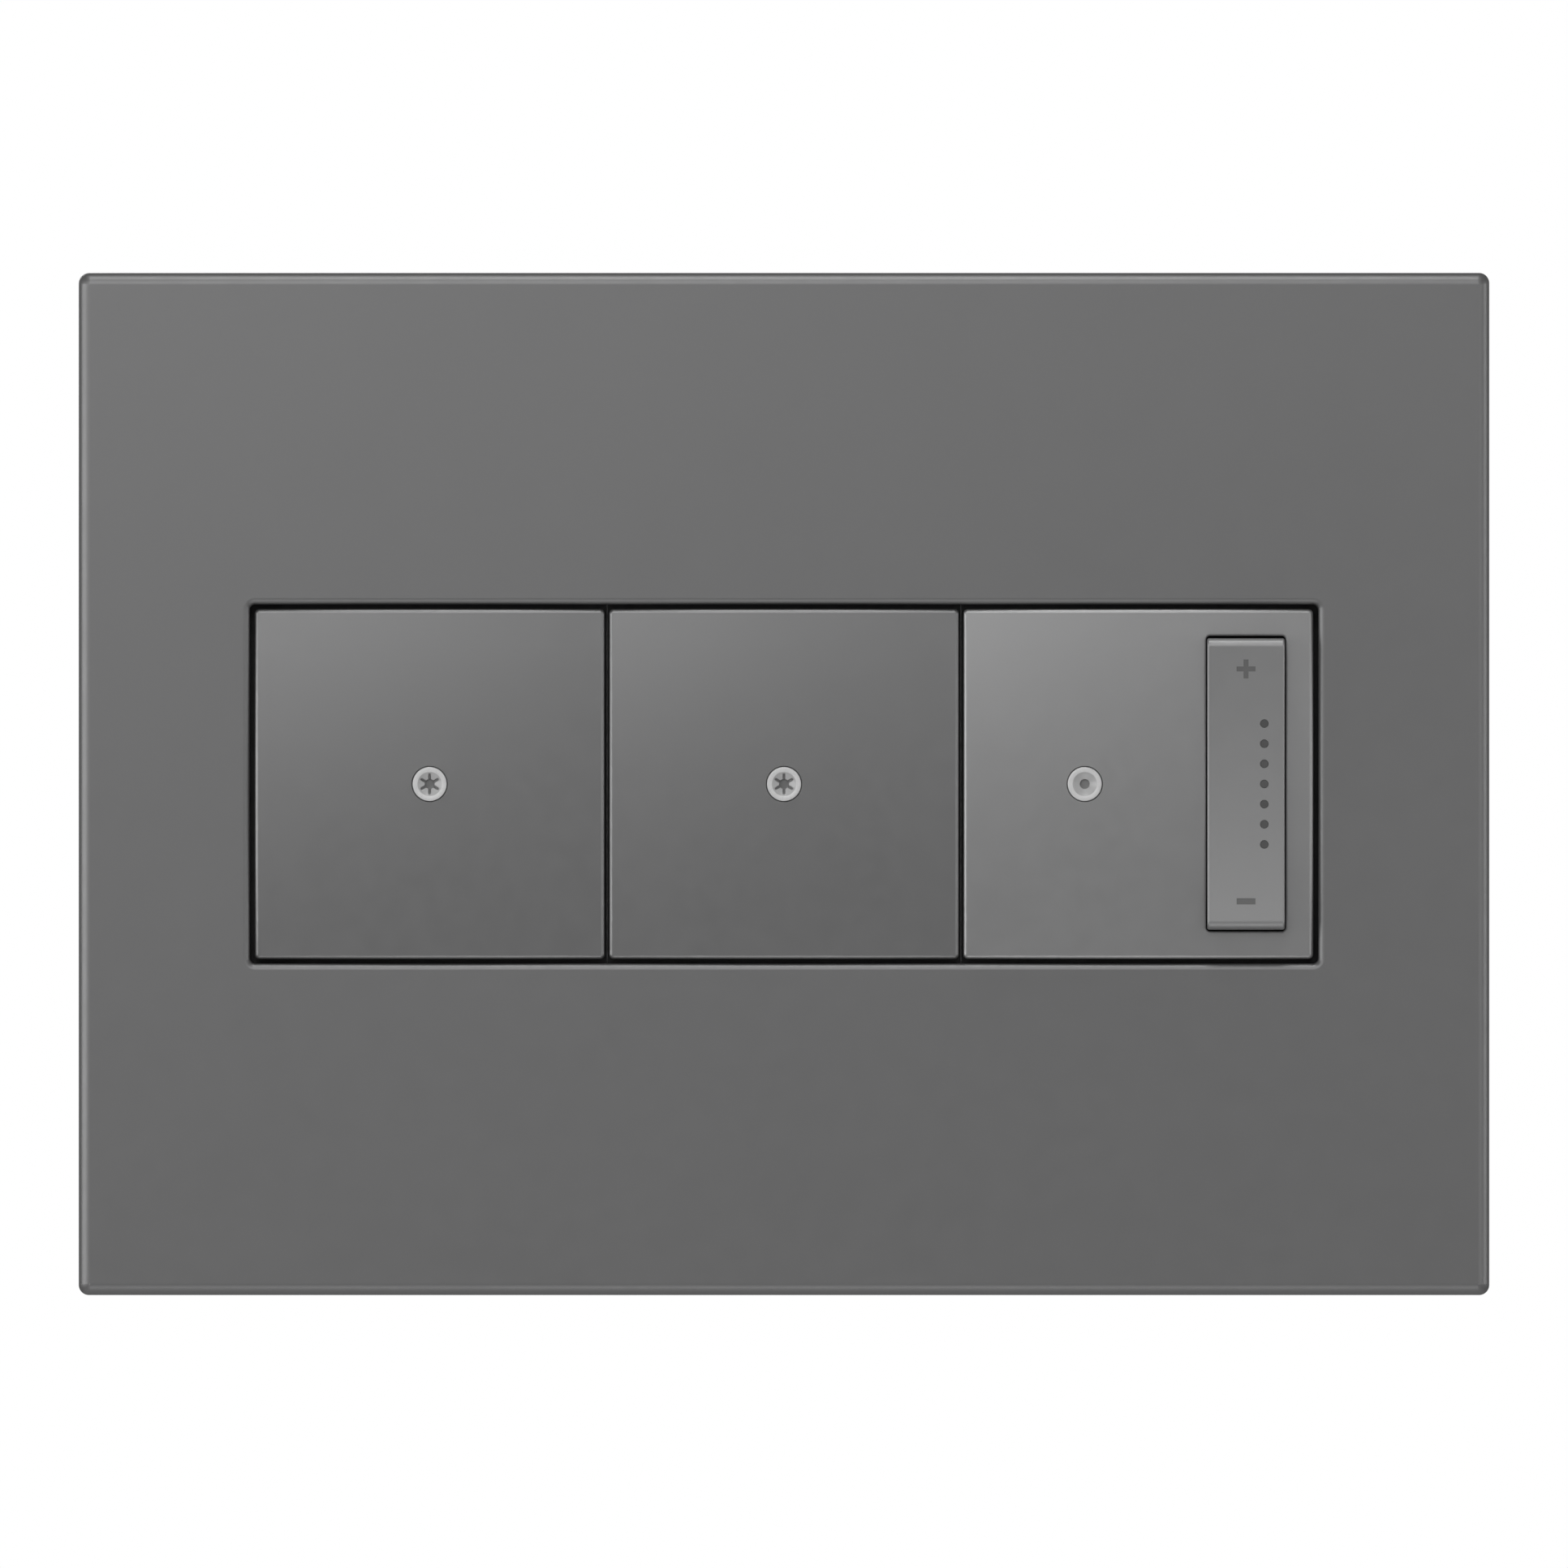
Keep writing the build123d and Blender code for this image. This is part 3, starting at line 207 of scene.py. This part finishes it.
def satin_paint(name, grey, roughness):
    """Fine metallic lacquer on moulded plastic, as on the cover plate and the press plates."""
    colour = (grey, grey, grey * 1.005)
    s = Shader(name, colour, roughness, metallic=PAINT_METAL, Specular_IOR_Level=0.5)
    s.tint(0.006, size_mm=14.0, detail=1.0)
    s.gloss(0.015, size_mm=2.2)
    flakes = s.cells(0.12)
    s.relief(flakes.outputs["Distance"], depth_mm=0.0025, strength=0.25)
    s.relief(s.noise(0.45, detail=2.0), depth_mm=0.004, strength=0.2)
    return s.material


def moulded_plastic(name, colour, roughness=0.5, grain_mm=0.35, depth_mm=0.02, tint=0.06):
    """Moulded engineering plastic with a spark-eroded grain."""
    s = Shader(name, colour, roughness)
    s.tint(tint, size_mm=7.0)
    s.gloss(0.06, size_mm=1.2)
    s.relief(s.noise(grain_mm, detail=3.0, roughness=0.6), depth_mm, strength=0.5)
    return s.material


def rolled_metal(name, colour, roughness, stretch=(1, 1, 1), spangle=0.0):
    """Sheet or turned metal with fine lines along one axis, and zinc spangle if asked."""
    s = Shader(name, colour, roughness, metallic=1.0)
    clouds = s.ranged(s.noise(5.0, detail=4.0), 0.0, 1.0)
    dark = [c * 0.86 for c in colour]
    light = [min(c * 1.08, 1.0) for c in colour]
    tone = s.mix(clouds, dark, light)
    if spangle:
        crystal = s.cells(spangle)
        blotch = s.ranged(crystal.outputs["Color"], 0.0, 1.0, 0.2, 0.8)
        tone = s.mix(blotch, tone, [min(c * 1.15, 1.0) for c in colour])
    s.paint(tone)
    s.gloss(0.08, size_mm=1.6, detail=4.0)
    lines = s.noise(0.12, detail=2.0, stretch=stretch)
    s.relief(lines, depth_mm=0.006, strength=0.35)
    return s.material


def glow_plastic(name, colour, roughness=0.3, depth=0.12):
    """Milky translucent plastic: a little light passes below its surface."""
    s = Shader(name, colour, roughness, Subsurface_Weight=depth, Subsurface_Scale=0.0006)
    s.bsdf.inputs["Subsurface Radius"].default_value = (1.0, 1.0, 1.0)
    s.bsdf.inputs["Coat Weight"].default_value = 0.3
    s.bsdf.inputs["Coat Roughness"].default_value = 0.15
    s.tint(0.03, size_mm=0.8)
    s.gloss(0.04, size_mm=0.5)
    return s.material


def circuit_board(name):
    """Green solder mask over copper tracks, which run along the edges of a cell pattern."""
    mask = (0.010, 0.085, 0.035)
    s = Shader(name, mask, 0.32)
    track = s.cells(3.4, feature="DISTANCE_TO_EDGE")
    track.distance = "CHEBYCHEV"
    edge = s.ranged(track.outputs["Distance"], 1.0, 0.0, 0.05, 0.09)
    s.paint(s.mix(edge, mask, (0.03, 0.16, 0.06)))
    s.gloss(0.05, size_mm=1.0)
    s.relief(edge, depth_mm=0.03, strength=0.6)
    return s.material


def make_materials():
    """A material for each material slot of the record, and for the finishes without a slot."""
    dark_plastic = dict(roughness=0.52, grain_mm=0.32, depth_mm=0.02)
    return {
        "plate_plastic": satin_paint("plate_paint", PLATE_GREY, PLATE_ROUGHNESS),
        "face_plastic": satin_paint("switch_paint", SWITCH_GREY, SWITCH_ROUGHNESS),
        # Painted light: the dimmer's paddle gets a lighter copy of the switch paint.
        "dimmer_lit_face": satin_paint("dimmer_lit_paint", DIMMER_LIT_GREY, SWITCH_ROUGHNESS),
        "dimmer_bar": satin_paint("level_bar_paint", BAR_GREY, BAR_ROUGHNESS),
        "lens_plastic": glow_plastic("lens_white", (0.60, 0.60, 0.60)),
        # Painted shade: the cone and eye greys are darker copies of the lens plastic, for the shade
        # in its dish; the dimmer's eye is a lighter copy of the switches' eye, for the light that
        # falls on it.
        "lens_cone": glow_plastic("lens_cone_painted_shade", (0.42, 0.42, 0.42), 0.35),
        "switch_eye": glow_plastic("lens_eye_painted_shade", (0.19, 0.19, 0.19), 0.4),
        "dimmer_eye": glow_plastic("dimmer_lens_eye_painted_shade", (0.27, 0.27, 0.27), 0.4),
        "symbol_ink": moulded_plastic("symbol_grey", (0.12, 0.12, 0.12), 0.55, 0.2, 0.004),
        "level_lens_plastic": moulded_plastic("level_smoke", (0.075, 0.075, 0.075), 0.35, 0.2, 0.002),
        "frame_steel": rolled_metal("zinc_steel", (0.62, 0.63, 0.64), 0.36, (14, 1, 1), spangle=3.0),
        "screw_steel": rolled_metal("screw_zinc", (0.66, 0.66, 0.63), 0.3, (1, 1, 1)),
        "front_frame_plastic": moulded_plastic("frame_black", (0.022, 0.022, 0.023), **dark_plastic),
        "housing_plastic": moulded_plastic("housing_grey", (0.030, 0.030, 0.032), **dark_plastic),
        "terminal_brass": rolled_metal("brass_sheet", (0.72, 0.52, 0.22), 0.3, (1, 8, 1)),
        "terminal_screw_brass": rolled_metal("brass_screw", (0.74, 0.55, 0.25), 0.27),
        "ground_screw_green": rolled_metal("green_zinc", (0.06, 0.30, 0.10), 0.3),
        "arm_copper": rolled_metal("bronze_sheet", (0.70, 0.42, 0.22), 0.32, (1, 1, 8)),
        "pin_steel": rolled_metal("pin_steel", (0.60, 0.60, 0.60), 0.22, (10, 1, 1)),
        "spring_steel": rolled_metal("spring_wire", (0.50, 0.50, 0.52), 0.25),
        "plunger_plastic": moulded_plastic("acetal", (0.72, 0.70, 0.64), 0.38, 0.6, 0.006, 0.02),
        "board_green": circuit_board("solder_mask"),
        "led_white": glow_plastic("led_resin", (0.80, 0.76, 0.52), 0.2, 0.3),
        "dome_rubber": moulded_plastic("silicone", (0.58, 0.58, 0.56), 0.6, 0.8, 0.006, 0.03),
        "chip_black": moulded_plastic("chip_resin", (0.018, 0.018, 0.018), 0.55, 0.12, 0.006),
        "sink_aluminium": rolled_metal("sink_sheet", (0.78, 0.78, 0.79), 0.34, (1, 1, 12)),
        "capacitor_yellow": moulded_plastic("capacitor_case", (0.62, 0.38, 0.05), 0.35, 1.0, 0.006),
        "core_grey": moulded_plastic("core_coating", (0.055, 0.06, 0.07), 0.45, 0.5, 0.02),
        "winding_copper": rolled_metal("enamelled_wire", (0.62, 0.24, 0.09), 0.24),
    }


# ------------------------------------------------------------------ helpers


def dress(obj, material):
    """Gives an object one material."""
    obj.data.materials.clear()
    obj.data.materials.append(material)


def soften_edges(obj, width_mm, segments=2, angle=32.0):
    """Rounds the sharp edges of a CAD node without touching its mesh."""
    weld = obj.modifiers.new("weld", "WELD")
    weld.merge_threshold = 1e-6
    bevel = obj.modifiers.new("edge", "BEVEL")
    bevel.width = width_mm * MM
    bevel.segments = segments
    bevel.limit_method = "ANGLE"
    bevel.angle_limit = radians(angle)
    bevel.use_clamp_overlap = True
    return obj


def new_piece(node, mesh, materials):
    """Adds a mesh as a piece that stands for a CAD node, and hides the node. It rides on no body
    until attach() gives it one.
    """
    obj = bpy.data.objects.new(mesh.name, mesh)
    bpy.context.scene.collection.objects.link(obj)
    for material in materials:
        mesh.materials.append(material)
    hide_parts(node)
    return obj


def solid_boxes(node):
    """The lowest and highest corner of each separate solid in a CAD node."""
    bm = bmesh.new()
    bm.from_mesh(frame["nodes"][node].data)
    bmesh.ops.remove_doubles(bm, verts=bm.verts, dist=1e-7)
    found = []
    unseen = set(bm.verts)
    while unseen:
        front = [unseen.pop()]
        corners = [front[0].co.copy(), front[0].co.copy()]
        while front:
            vert = front.pop()
            corners[0] = Vector(map(min, corners[0], vert.co))
            corners[1] = Vector(map(max, corners[1], vert.co))
            for edge in vert.link_edges:
                other = edge.other_vert(vert)
                if other in unseen:
                    unseen.remove(other)
                    front.append(other)
        found.append(tuple(corners))
    bm.free()
    return sorted(found, key=lambda box: (round(box[0].x, 5), round(box[0].z, 5)))


def finish_mesh(bm, name, smooth_angle=40.0):
    """Closes a bmesh into a mesh whose edges over smooth_angle degrees stay crisp."""
    bmesh.ops.remove_doubles(bm, verts=bm.verts, dist=2e-7)
    bmesh.ops.dissolve_degenerate(bm, edges=bm.edges, dist=1e-8)
    bmesh.ops.recalc_face_normals(bm, faces=bm.faces)
    for edge in bm.edges:
        edge.smooth = edge.is_manifold and edge.calc_face_angle(0.0) < radians(smooth_angle)
    for face in bm.faces:
        face.smooth = True
    mesh = bpy.data.meshes.new(name)
    bm.to_mesh(mesh)
    bm.free()
    return mesh


def turn(bm, centre, profile, segments, shift=None):
    """Turns a profile of (radius, height) about the line through centre that faces the room.

    A height is a distance towards the room. The profile starts and ends on the axis, and shift
    may move a point: it takes (radius, angle, height) and gives the new radius and height. The
    faces come back in one list for each band.
    """
    rings = []
    for radius, height in profile:
        count = segments if radius > 0 else 1
        ring = []
        for k in range(count):
            angle = 2 * pi * k / segments
            out, rise = shift(radius, angle, height) if shift else (radius, height)
            place = (centre.x + out * cos(angle), centre.y - rise, centre.z + out * sin(angle))
            ring.append(bm.verts.new(place))
        rings.append(ring)
    bands = []
    for lower, upper in zip(rings, rings[1:]):
        band = []
        for k in range(segments):
            corners = [
                lower[k % len(lower)],
                lower[(k + 1) % len(lower)],
                upper[(k + 1) % len(upper)],
                upper[k % len(upper)],
            ]
            corners = list(dict.fromkeys(corners))
            if len(corners) > 2:
                band.append(bm.faces.new(corners))
        bands.append(band)
    return bands


# ------------------------------------------------------------------ ring lights


def star_depth(radius, angle, reach, half_width, depth):
    """Depth of six radial grooves, the first one straight up, at a polar place."""
    step = pi / 3
    nearest = round((angle - pi / 2) / step) * step + pi / 2
    off = abs(radius * sin(angle - nearest))
    across = max(0.0, 1.0 - (off / half_width) ** 2)
    along = min(1.0, max(0.0, (reach - radius) / half_width))
    return depth * across * along


def ring_light(node, body, materials, starred):
    """Ring light: a bright rim, a dished cone with or without six grooves, and an eye. The cone, the
    deep part of the grooves and the eye are painted shade: darker greys of the one lens plastic where
    the dish falls away into the lens.
    """
    low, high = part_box(node)
    centre = Vector(((low.x + high.x) / 2, 0.0, (low.z + high.z) / 2))
    back = -high.y
    front = -low.y
    flange_r = (high.x - low.x) / 2
    rim_r = flange_r * 2 / 3
    pipe_r = 0.45 * flange_r
    flange_back = back + 0.515 * (front - back)
    flange_front = flange_back + 0.9 * MM
    cone_r = 0.66 * rim_r
    eye_r = 0.29 * rim_r
    lip_width = 0.1 * MM
    lip_drop = 0.06 * MM
    cone_depth = 0.42 * MM
    cone_steps = 14
    cone_curve = 0.8
    eye_depth = 1.0 * MM
    round_r = 0.16 * MM
    profile = [
        (0.0, back),
        (pipe_r - round_r, back),
        (pipe_r, back + round_r),
        (pipe_r, flange_back),
        (flange_r, flange_back),
        (flange_r, flange_front),
        (rim_r, flange_front),
        (rim_r, front - round_r),
    ]
    for step in (30, 60, 90):
        turned = radians(step)
        out = rim_r - round_r * (1 - cos(turned))
        profile.append((out, front - round_r * (1 - sin(turned))))
    profile.append((cone_r + lip_width, front))
    cone_start = len(profile)
    for step in range(cone_steps + 1):
        share = step / cone_steps
        fall = cone_depth * share**cone_curve
        profile.append((cone_r + (eye_r - cone_r) * share, front - lip_drop - fall))
    eye_start = len(profile)
    profile.append((eye_r * 0.92, front - eye_depth))
    profile.append((eye_r * 0.5, front - eye_depth - 0.05 * MM))
    profile.append((0.0, front - eye_depth))
    groove = dict(reach=cone_r * 0.96, half_width=0.2 * MM, depth=0.3 * MM)

    def grooved(radius, angle, height):
        in_cone = eye_r * 0.95 < radius < cone_r * 1.01 and height > front - eye_depth / 2
        dent = star_depth(radius, angle, **groove) if starred and in_cone else 0.0
        return radius, height - dent

    bm = bmesh.new()
    bands = turn(bm, centre, profile, 144, grooved)
    for number, band in enumerate(bands):
        for face in band:
            place = face.calc_center_median() - centre
            radius = hypot(place.x, place.z)
            # Painted shade: the eye and the deeper part of each groove take the darkest grey, and the
            # rest of the cone a darker grey than the rim.
            if number >= eye_start - 1:
                face.material_index = 2
            elif number >= cone_start - 1:
                sunk = star_depth(radius, atan2(place.z, place.x), **groove)
                face.material_index = 2 if starred and sunk > 0.4 * groove["depth"] else 1
    mesh = finish_mesh(bm, node + "_dished", 50.0)
    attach(new_piece(node, mesh, materials), body)


# ------------------------------------------------------------------ screws


def threaded(core, crest, start, end, pitch):
    """A shift for turn() that makes a V thread between two heights and lets it run out."""

    def shift(radius, angle, height):
        if not start < height < end:
            return radius, height
        phase = ((height - start) / pitch - angle / (2 * pi)) % 1.0
        ridge = 1.0 - abs(2.0 * phase - 1.0)
        run_out = min(1.0, (height - start) / pitch, (end - height) / pitch)
        return core + (crest - core) * ridge * run_out, height

    return shift


def heads_of(node, depth):
    """A bmesh of the part of a CAD node that stands in front of a depth, closed at the cut."""
    bm = bmesh.new()
    bm.from_mesh(frame["nodes"][node].data)
    bmesh.ops.remove_doubles(bm, verts=bm.verts, dist=1e-7)
    everything = bm.verts[:] + bm.edges[:] + bm.faces[:]
    bmesh.ops.bisect_plane(
        bm, geom=everything, plane_co=(0, depth, 0), plane_no=(0, 1, 0), clear_outer=True
    )
    bmesh.ops.holes_fill(bm, edges=[e for e in bm.edges if e.is_boundary])
    return bm


def box_screw_piece(material):
    """The six box screws: the CAD heads and necks, on shanks with a rolled thread."""
    node = "box_screws"
    neck_length = 3.0 * MM
    pitch = 0.794 * MM
    rows_per_turn = 8
    boxes = solid_boxes(node)
    neck = boxes[0][0].y + neck_length
    bm = heads_of(node, neck)
    for low, high in boxes:
        centre = Vector(((low.x + high.x) / 2, 0.0, (low.z + high.z) / 2))
        crest = (high.x - low.x) / 4
        core = 0.76 * crest
        start = -high.y + 1.2 * MM
        end = -neck - 0.3 * MM
        profile = [(0.0, -high.y), (0.7 * core, -high.y), (core, start)]
        rows = round((end - start) / pitch * rows_per_turn)
        for row in range(1, rows):
            profile.append((core, start + (end - start) * row / rows))
        profile += [(core, end), (0.95 * core, -neck), (0.0, -neck)]
        turn(bm, centre, profile, 28, threaded(core, crest, start, end, pitch))
    mesh = finish_mesh(bm, node + "_threaded", 50.0)
    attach(new_piece(node, mesh, [material]), "wall_control")


# ------------------------------------------------------------------ return springs and rubber domes


def tube(bm, points, axis_x, axis_z, radius, sides):
    """A closed tube of the given radius along points that wind round a line towards the room."""
    rings = []
    for point in points:
        outward = Vector((point.x - axis_x, 0, point.z - axis_z)).normalized()
        ring = []
        for k in range(sides):
            angle = 2 * pi * k / sides
            offset = radius * (cos(angle) * outward + sin(angle) * Vector((0, 1, 0)))
            ring.append(bm.verts.new(point + offset))
        rings.append(ring)
    for lower, upper in zip(rings, rings[1:]):
        for k in range(sides):
            after = (k + 1) % sides
            bm.faces.new((lower[k], lower[after], upper[after], upper[k]))
    bm.faces.new(rings[0])
    bm.faces.new(rings[-1])


def return_spring(switch, material):
    """Compression spring with closed ends, coiled between the foot and the top of its CAD node."""
    node = f"{switch}_return_spring"
    wire_r = 0.35 * MM
    turns = 8
    closed_turns = 0.75
    opening_turns = 0.5
    loose_turns = turns - 2 * closed_turns - opening_turns
    steps_per_turn = 36
    closed_pitch = 2.1 * wire_r
    low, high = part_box(node)
    axis_x = (low.x + high.x) / 2
    axis_z = (low.z + high.z) / 2
    coil_r = (high.x - low.x) / 2 - wire_r
    back = -high.y + wire_r
    front = -low.y - wire_r
    open_pitch = closed_pitch + (front - back - turns * closed_pitch) / loose_turns
    climbed = [0.0]
    for step in range(turns * steps_per_turn):
        turn_number = (step + 0.5) / steps_per_turn
        from_end = min(turn_number, turns - turn_number)
        opened = min(1.0, max(0.0, (from_end - closed_turns) / opening_turns))
        pitch = closed_pitch + (open_pitch - closed_pitch) * opened
        climbed.append(climbed[-1] + pitch / steps_per_turn)
    points = []
    for step, height in enumerate(climbed):
        angle = 2 * pi * step / steps_per_turn
        height = back + (front - back) * height / climbed[-1]
        across = coil_r * Vector((cos(angle), 0, sin(angle)))
        points.append(Vector((axis_x, -height, axis_z)) + across)
    bm = bmesh.new()
    tube(bm, points, axis_x, axis_z, wire_r, 12)
    mesh = finish_mesh(bm, node + "_coil")
    spring = new_piece(node, mesh, [material])
    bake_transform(spring)


def rubber_domes(node, material):
    """Silicone key domes, one on each solid of the CAD node."""
    bm = bmesh.new()
    flange = 0.5 * MM
    for corner, opposite in solid_boxes(node):
        centre = Vector(((corner.x + opposite.x) / 2, 0.0, (corner.z + opposite.z) / 2))
        outer = (opposite.x - corner.x) / 2
        back = -opposite.y
        front = -corner.y
        profile = [
            (0.0, back),
            (outer, back),
            (outer, back + 0.75 * flange),
            (0.95 * outer, back + flange),
            (0.80 * outer, back + flange),
            (0.66 * outer, back + 2.6 * flange),
            (0.64 * outer, front - 0.4 * flange),
            (0.61 * outer, front - 0.1 * flange),
            (0.56 * outer, front),
            (0.26 * outer, front),
            (0.20 * outer, front - 0.2 * flange),
            (0.0, front - 0.24 * flange),
        ]
        turn(bm, centre, profile, 48)
    mesh = finish_mesh(bm, node + "_moulded", 30.0)
    domes = new_piece(node, mesh, [material])
    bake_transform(domes)


# ------------------------------------------------------------------ dressing

# Width in millimetres of the bevel on the nodes whose names end so.
EDGE_WIDTHS = {
    "mounting_frame": 0.18,
    "front_frame": 0.12,
    "rear_housing": 0.18,
    "housing_screws": 0.08,
    "terminal_screws": 0.1,
    "ground_screw": 0.1,
    "terminals": 0.08,
    "terminal": 0.08,
    "heat_sink": 0.1,
    "triac": 0.12,
    "board": 0.06,
    "chip": 0.08,
    "contact_arm": 0.1,
    "pin": 0.1,
    "led": 0.08,
    "plunger": 0.12,
}


def dress_nodes(materials):
    """Gives every CAD node its material, and rounds the sharp edges of the ones that have them."""
    slots = {part["node"]: part["material_slot"] for part in frame["record"]["subparts"]}
    for node, obj in frame["nodes"].items():
        dress(obj, materials[DIMMER_PAINTS.get(node, slots[node])])
        for ending, width in EDGE_WIDTHS.items():
            if node.endswith(ending):
                soften_edges(obj, width)
                break


def add_pieces():
    """Dresses the CAD nodes and adds the pieces that stand for some of them."""
    materials = make_materials()
    dress_nodes(materials)
    for module in MODULES:
        starred = module in SWITCHES
        eye = materials["switch_eye" if starred else "dimmer_eye"]
        lens = [materials["lens_plastic"], materials["lens_cone"], eye]
        ring_light(f"{module}_ring_lens", f"{module}_paddle", lens, starred)
    box_screw_piece(materials["screw_steel"])
    for switch in SWITCHES:
        return_spring(switch, materials["spring_steel"])
    for node, pusher in DOME_PUSHERS:
        rubber_domes(node, materials["dome_rubber"])


# ------------------------------------------------------------------ camera, light and floor


def add_camera():
    """Long lens straight in front of the plate."""
    data = bpy.data.cameras.new("camera")
    data.sensor_width = SENSOR
    data.lens = SENSOR * CAMERA_DISTANCE / VIEW_WIDTH
    data.clip_start = 0.05
    data.clip_end = 20.0
    camera = bpy.data.objects.new("camera", data)
    bpy.context.scene.collection.objects.link(camera)
    camera.location = (0.0, -PLATE_FRONT - CAMERA_DISTANCE, 0.0)
    camera.rotation_euler = (radians(90), 0, 0)
    bpy.context.scene.camera = camera


def add_softbox(name, off_axis, towards, watts):
    """A square soft light that faces the object from one side of the camera's line."""
    data = bpy.data.lights.new(name, "AREA")
    data.size = LIGHT_SIZE
    data.energy = watts
    lamp = bpy.data.objects.new(name, data)
    bpy.context.scene.collection.objects.link(lamp)
    right, up = Vector(towards).normalized() * sin(radians(off_axis))
    lamp.location = LIGHT_DISTANCE * Vector((right, -cos(radians(off_axis)), up))
    lamp.rotation_euler = (-lamp.location).to_track_quat("-Z", "Y").to_euler()


def camera_only(tree, strength, light, shown):
    """Sets a strength to one value for the light on the object, and to another as it is seen."""
    path = tree.nodes.new("ShaderNodeLightPath")
    choice = tree.nodes.new("ShaderNodeMapRange")
    choice.inputs["To Min"].default_value = light
    choice.inputs["To Max"].default_value = shown
    tree.links.new(path.outputs["Is Camera Ray"], choice.inputs["Value"])
    tree.links.new(choice.outputs["Result"], strength)


def add_world():
    """Even studio light, with a white backdrop where the camera looks past the object."""
    world = bpy.data.worlds.new("studio")
    bpy.context.scene.world = world
    world.use_nodes = True
    background = world.node_tree.nodes["Background"]
    background.inputs["Color"].default_value = (1, 1, 1, 1)
    camera_only(world.node_tree, background.inputs["Strength"], WORLD_LIGHT, BACKDROP)


def add_floor():
    """Pale floor below the object."""
    bm = bmesh.new()
    bmesh.ops.create_grid(bm, x_segments=1, y_segments=1, size=FLOOR_HALF_SIZE)
    mesh = bpy.data.meshes.new("floor")
    bm.to_mesh(mesh)
    bm.free()
    floor = bpy.data.objects.new("floor", mesh)
    bpy.context.scene.collection.objects.link(floor)
    floor.location = FLOOR_PLACE
    s = Shader("floor_white", (0.86, 0.86, 0.86), 0.8)
    s.tint(0.01, size_mm=60)
    s.bsdf.inputs["Emission Color"].default_value = (1, 1, 1, 1)
    camera_only(s.tree, s.bsdf.inputs["Emission Strength"], 0.0, FLOOR_GLOW)
    mesh.materials.append(s.material)


add_pieces()
add_camera()
for softbox in SOFTBOXES:
    add_softbox(*softbox)
add_world()
add_floor()
bpy.context.scene.view_settings.view_transform = "Standard"
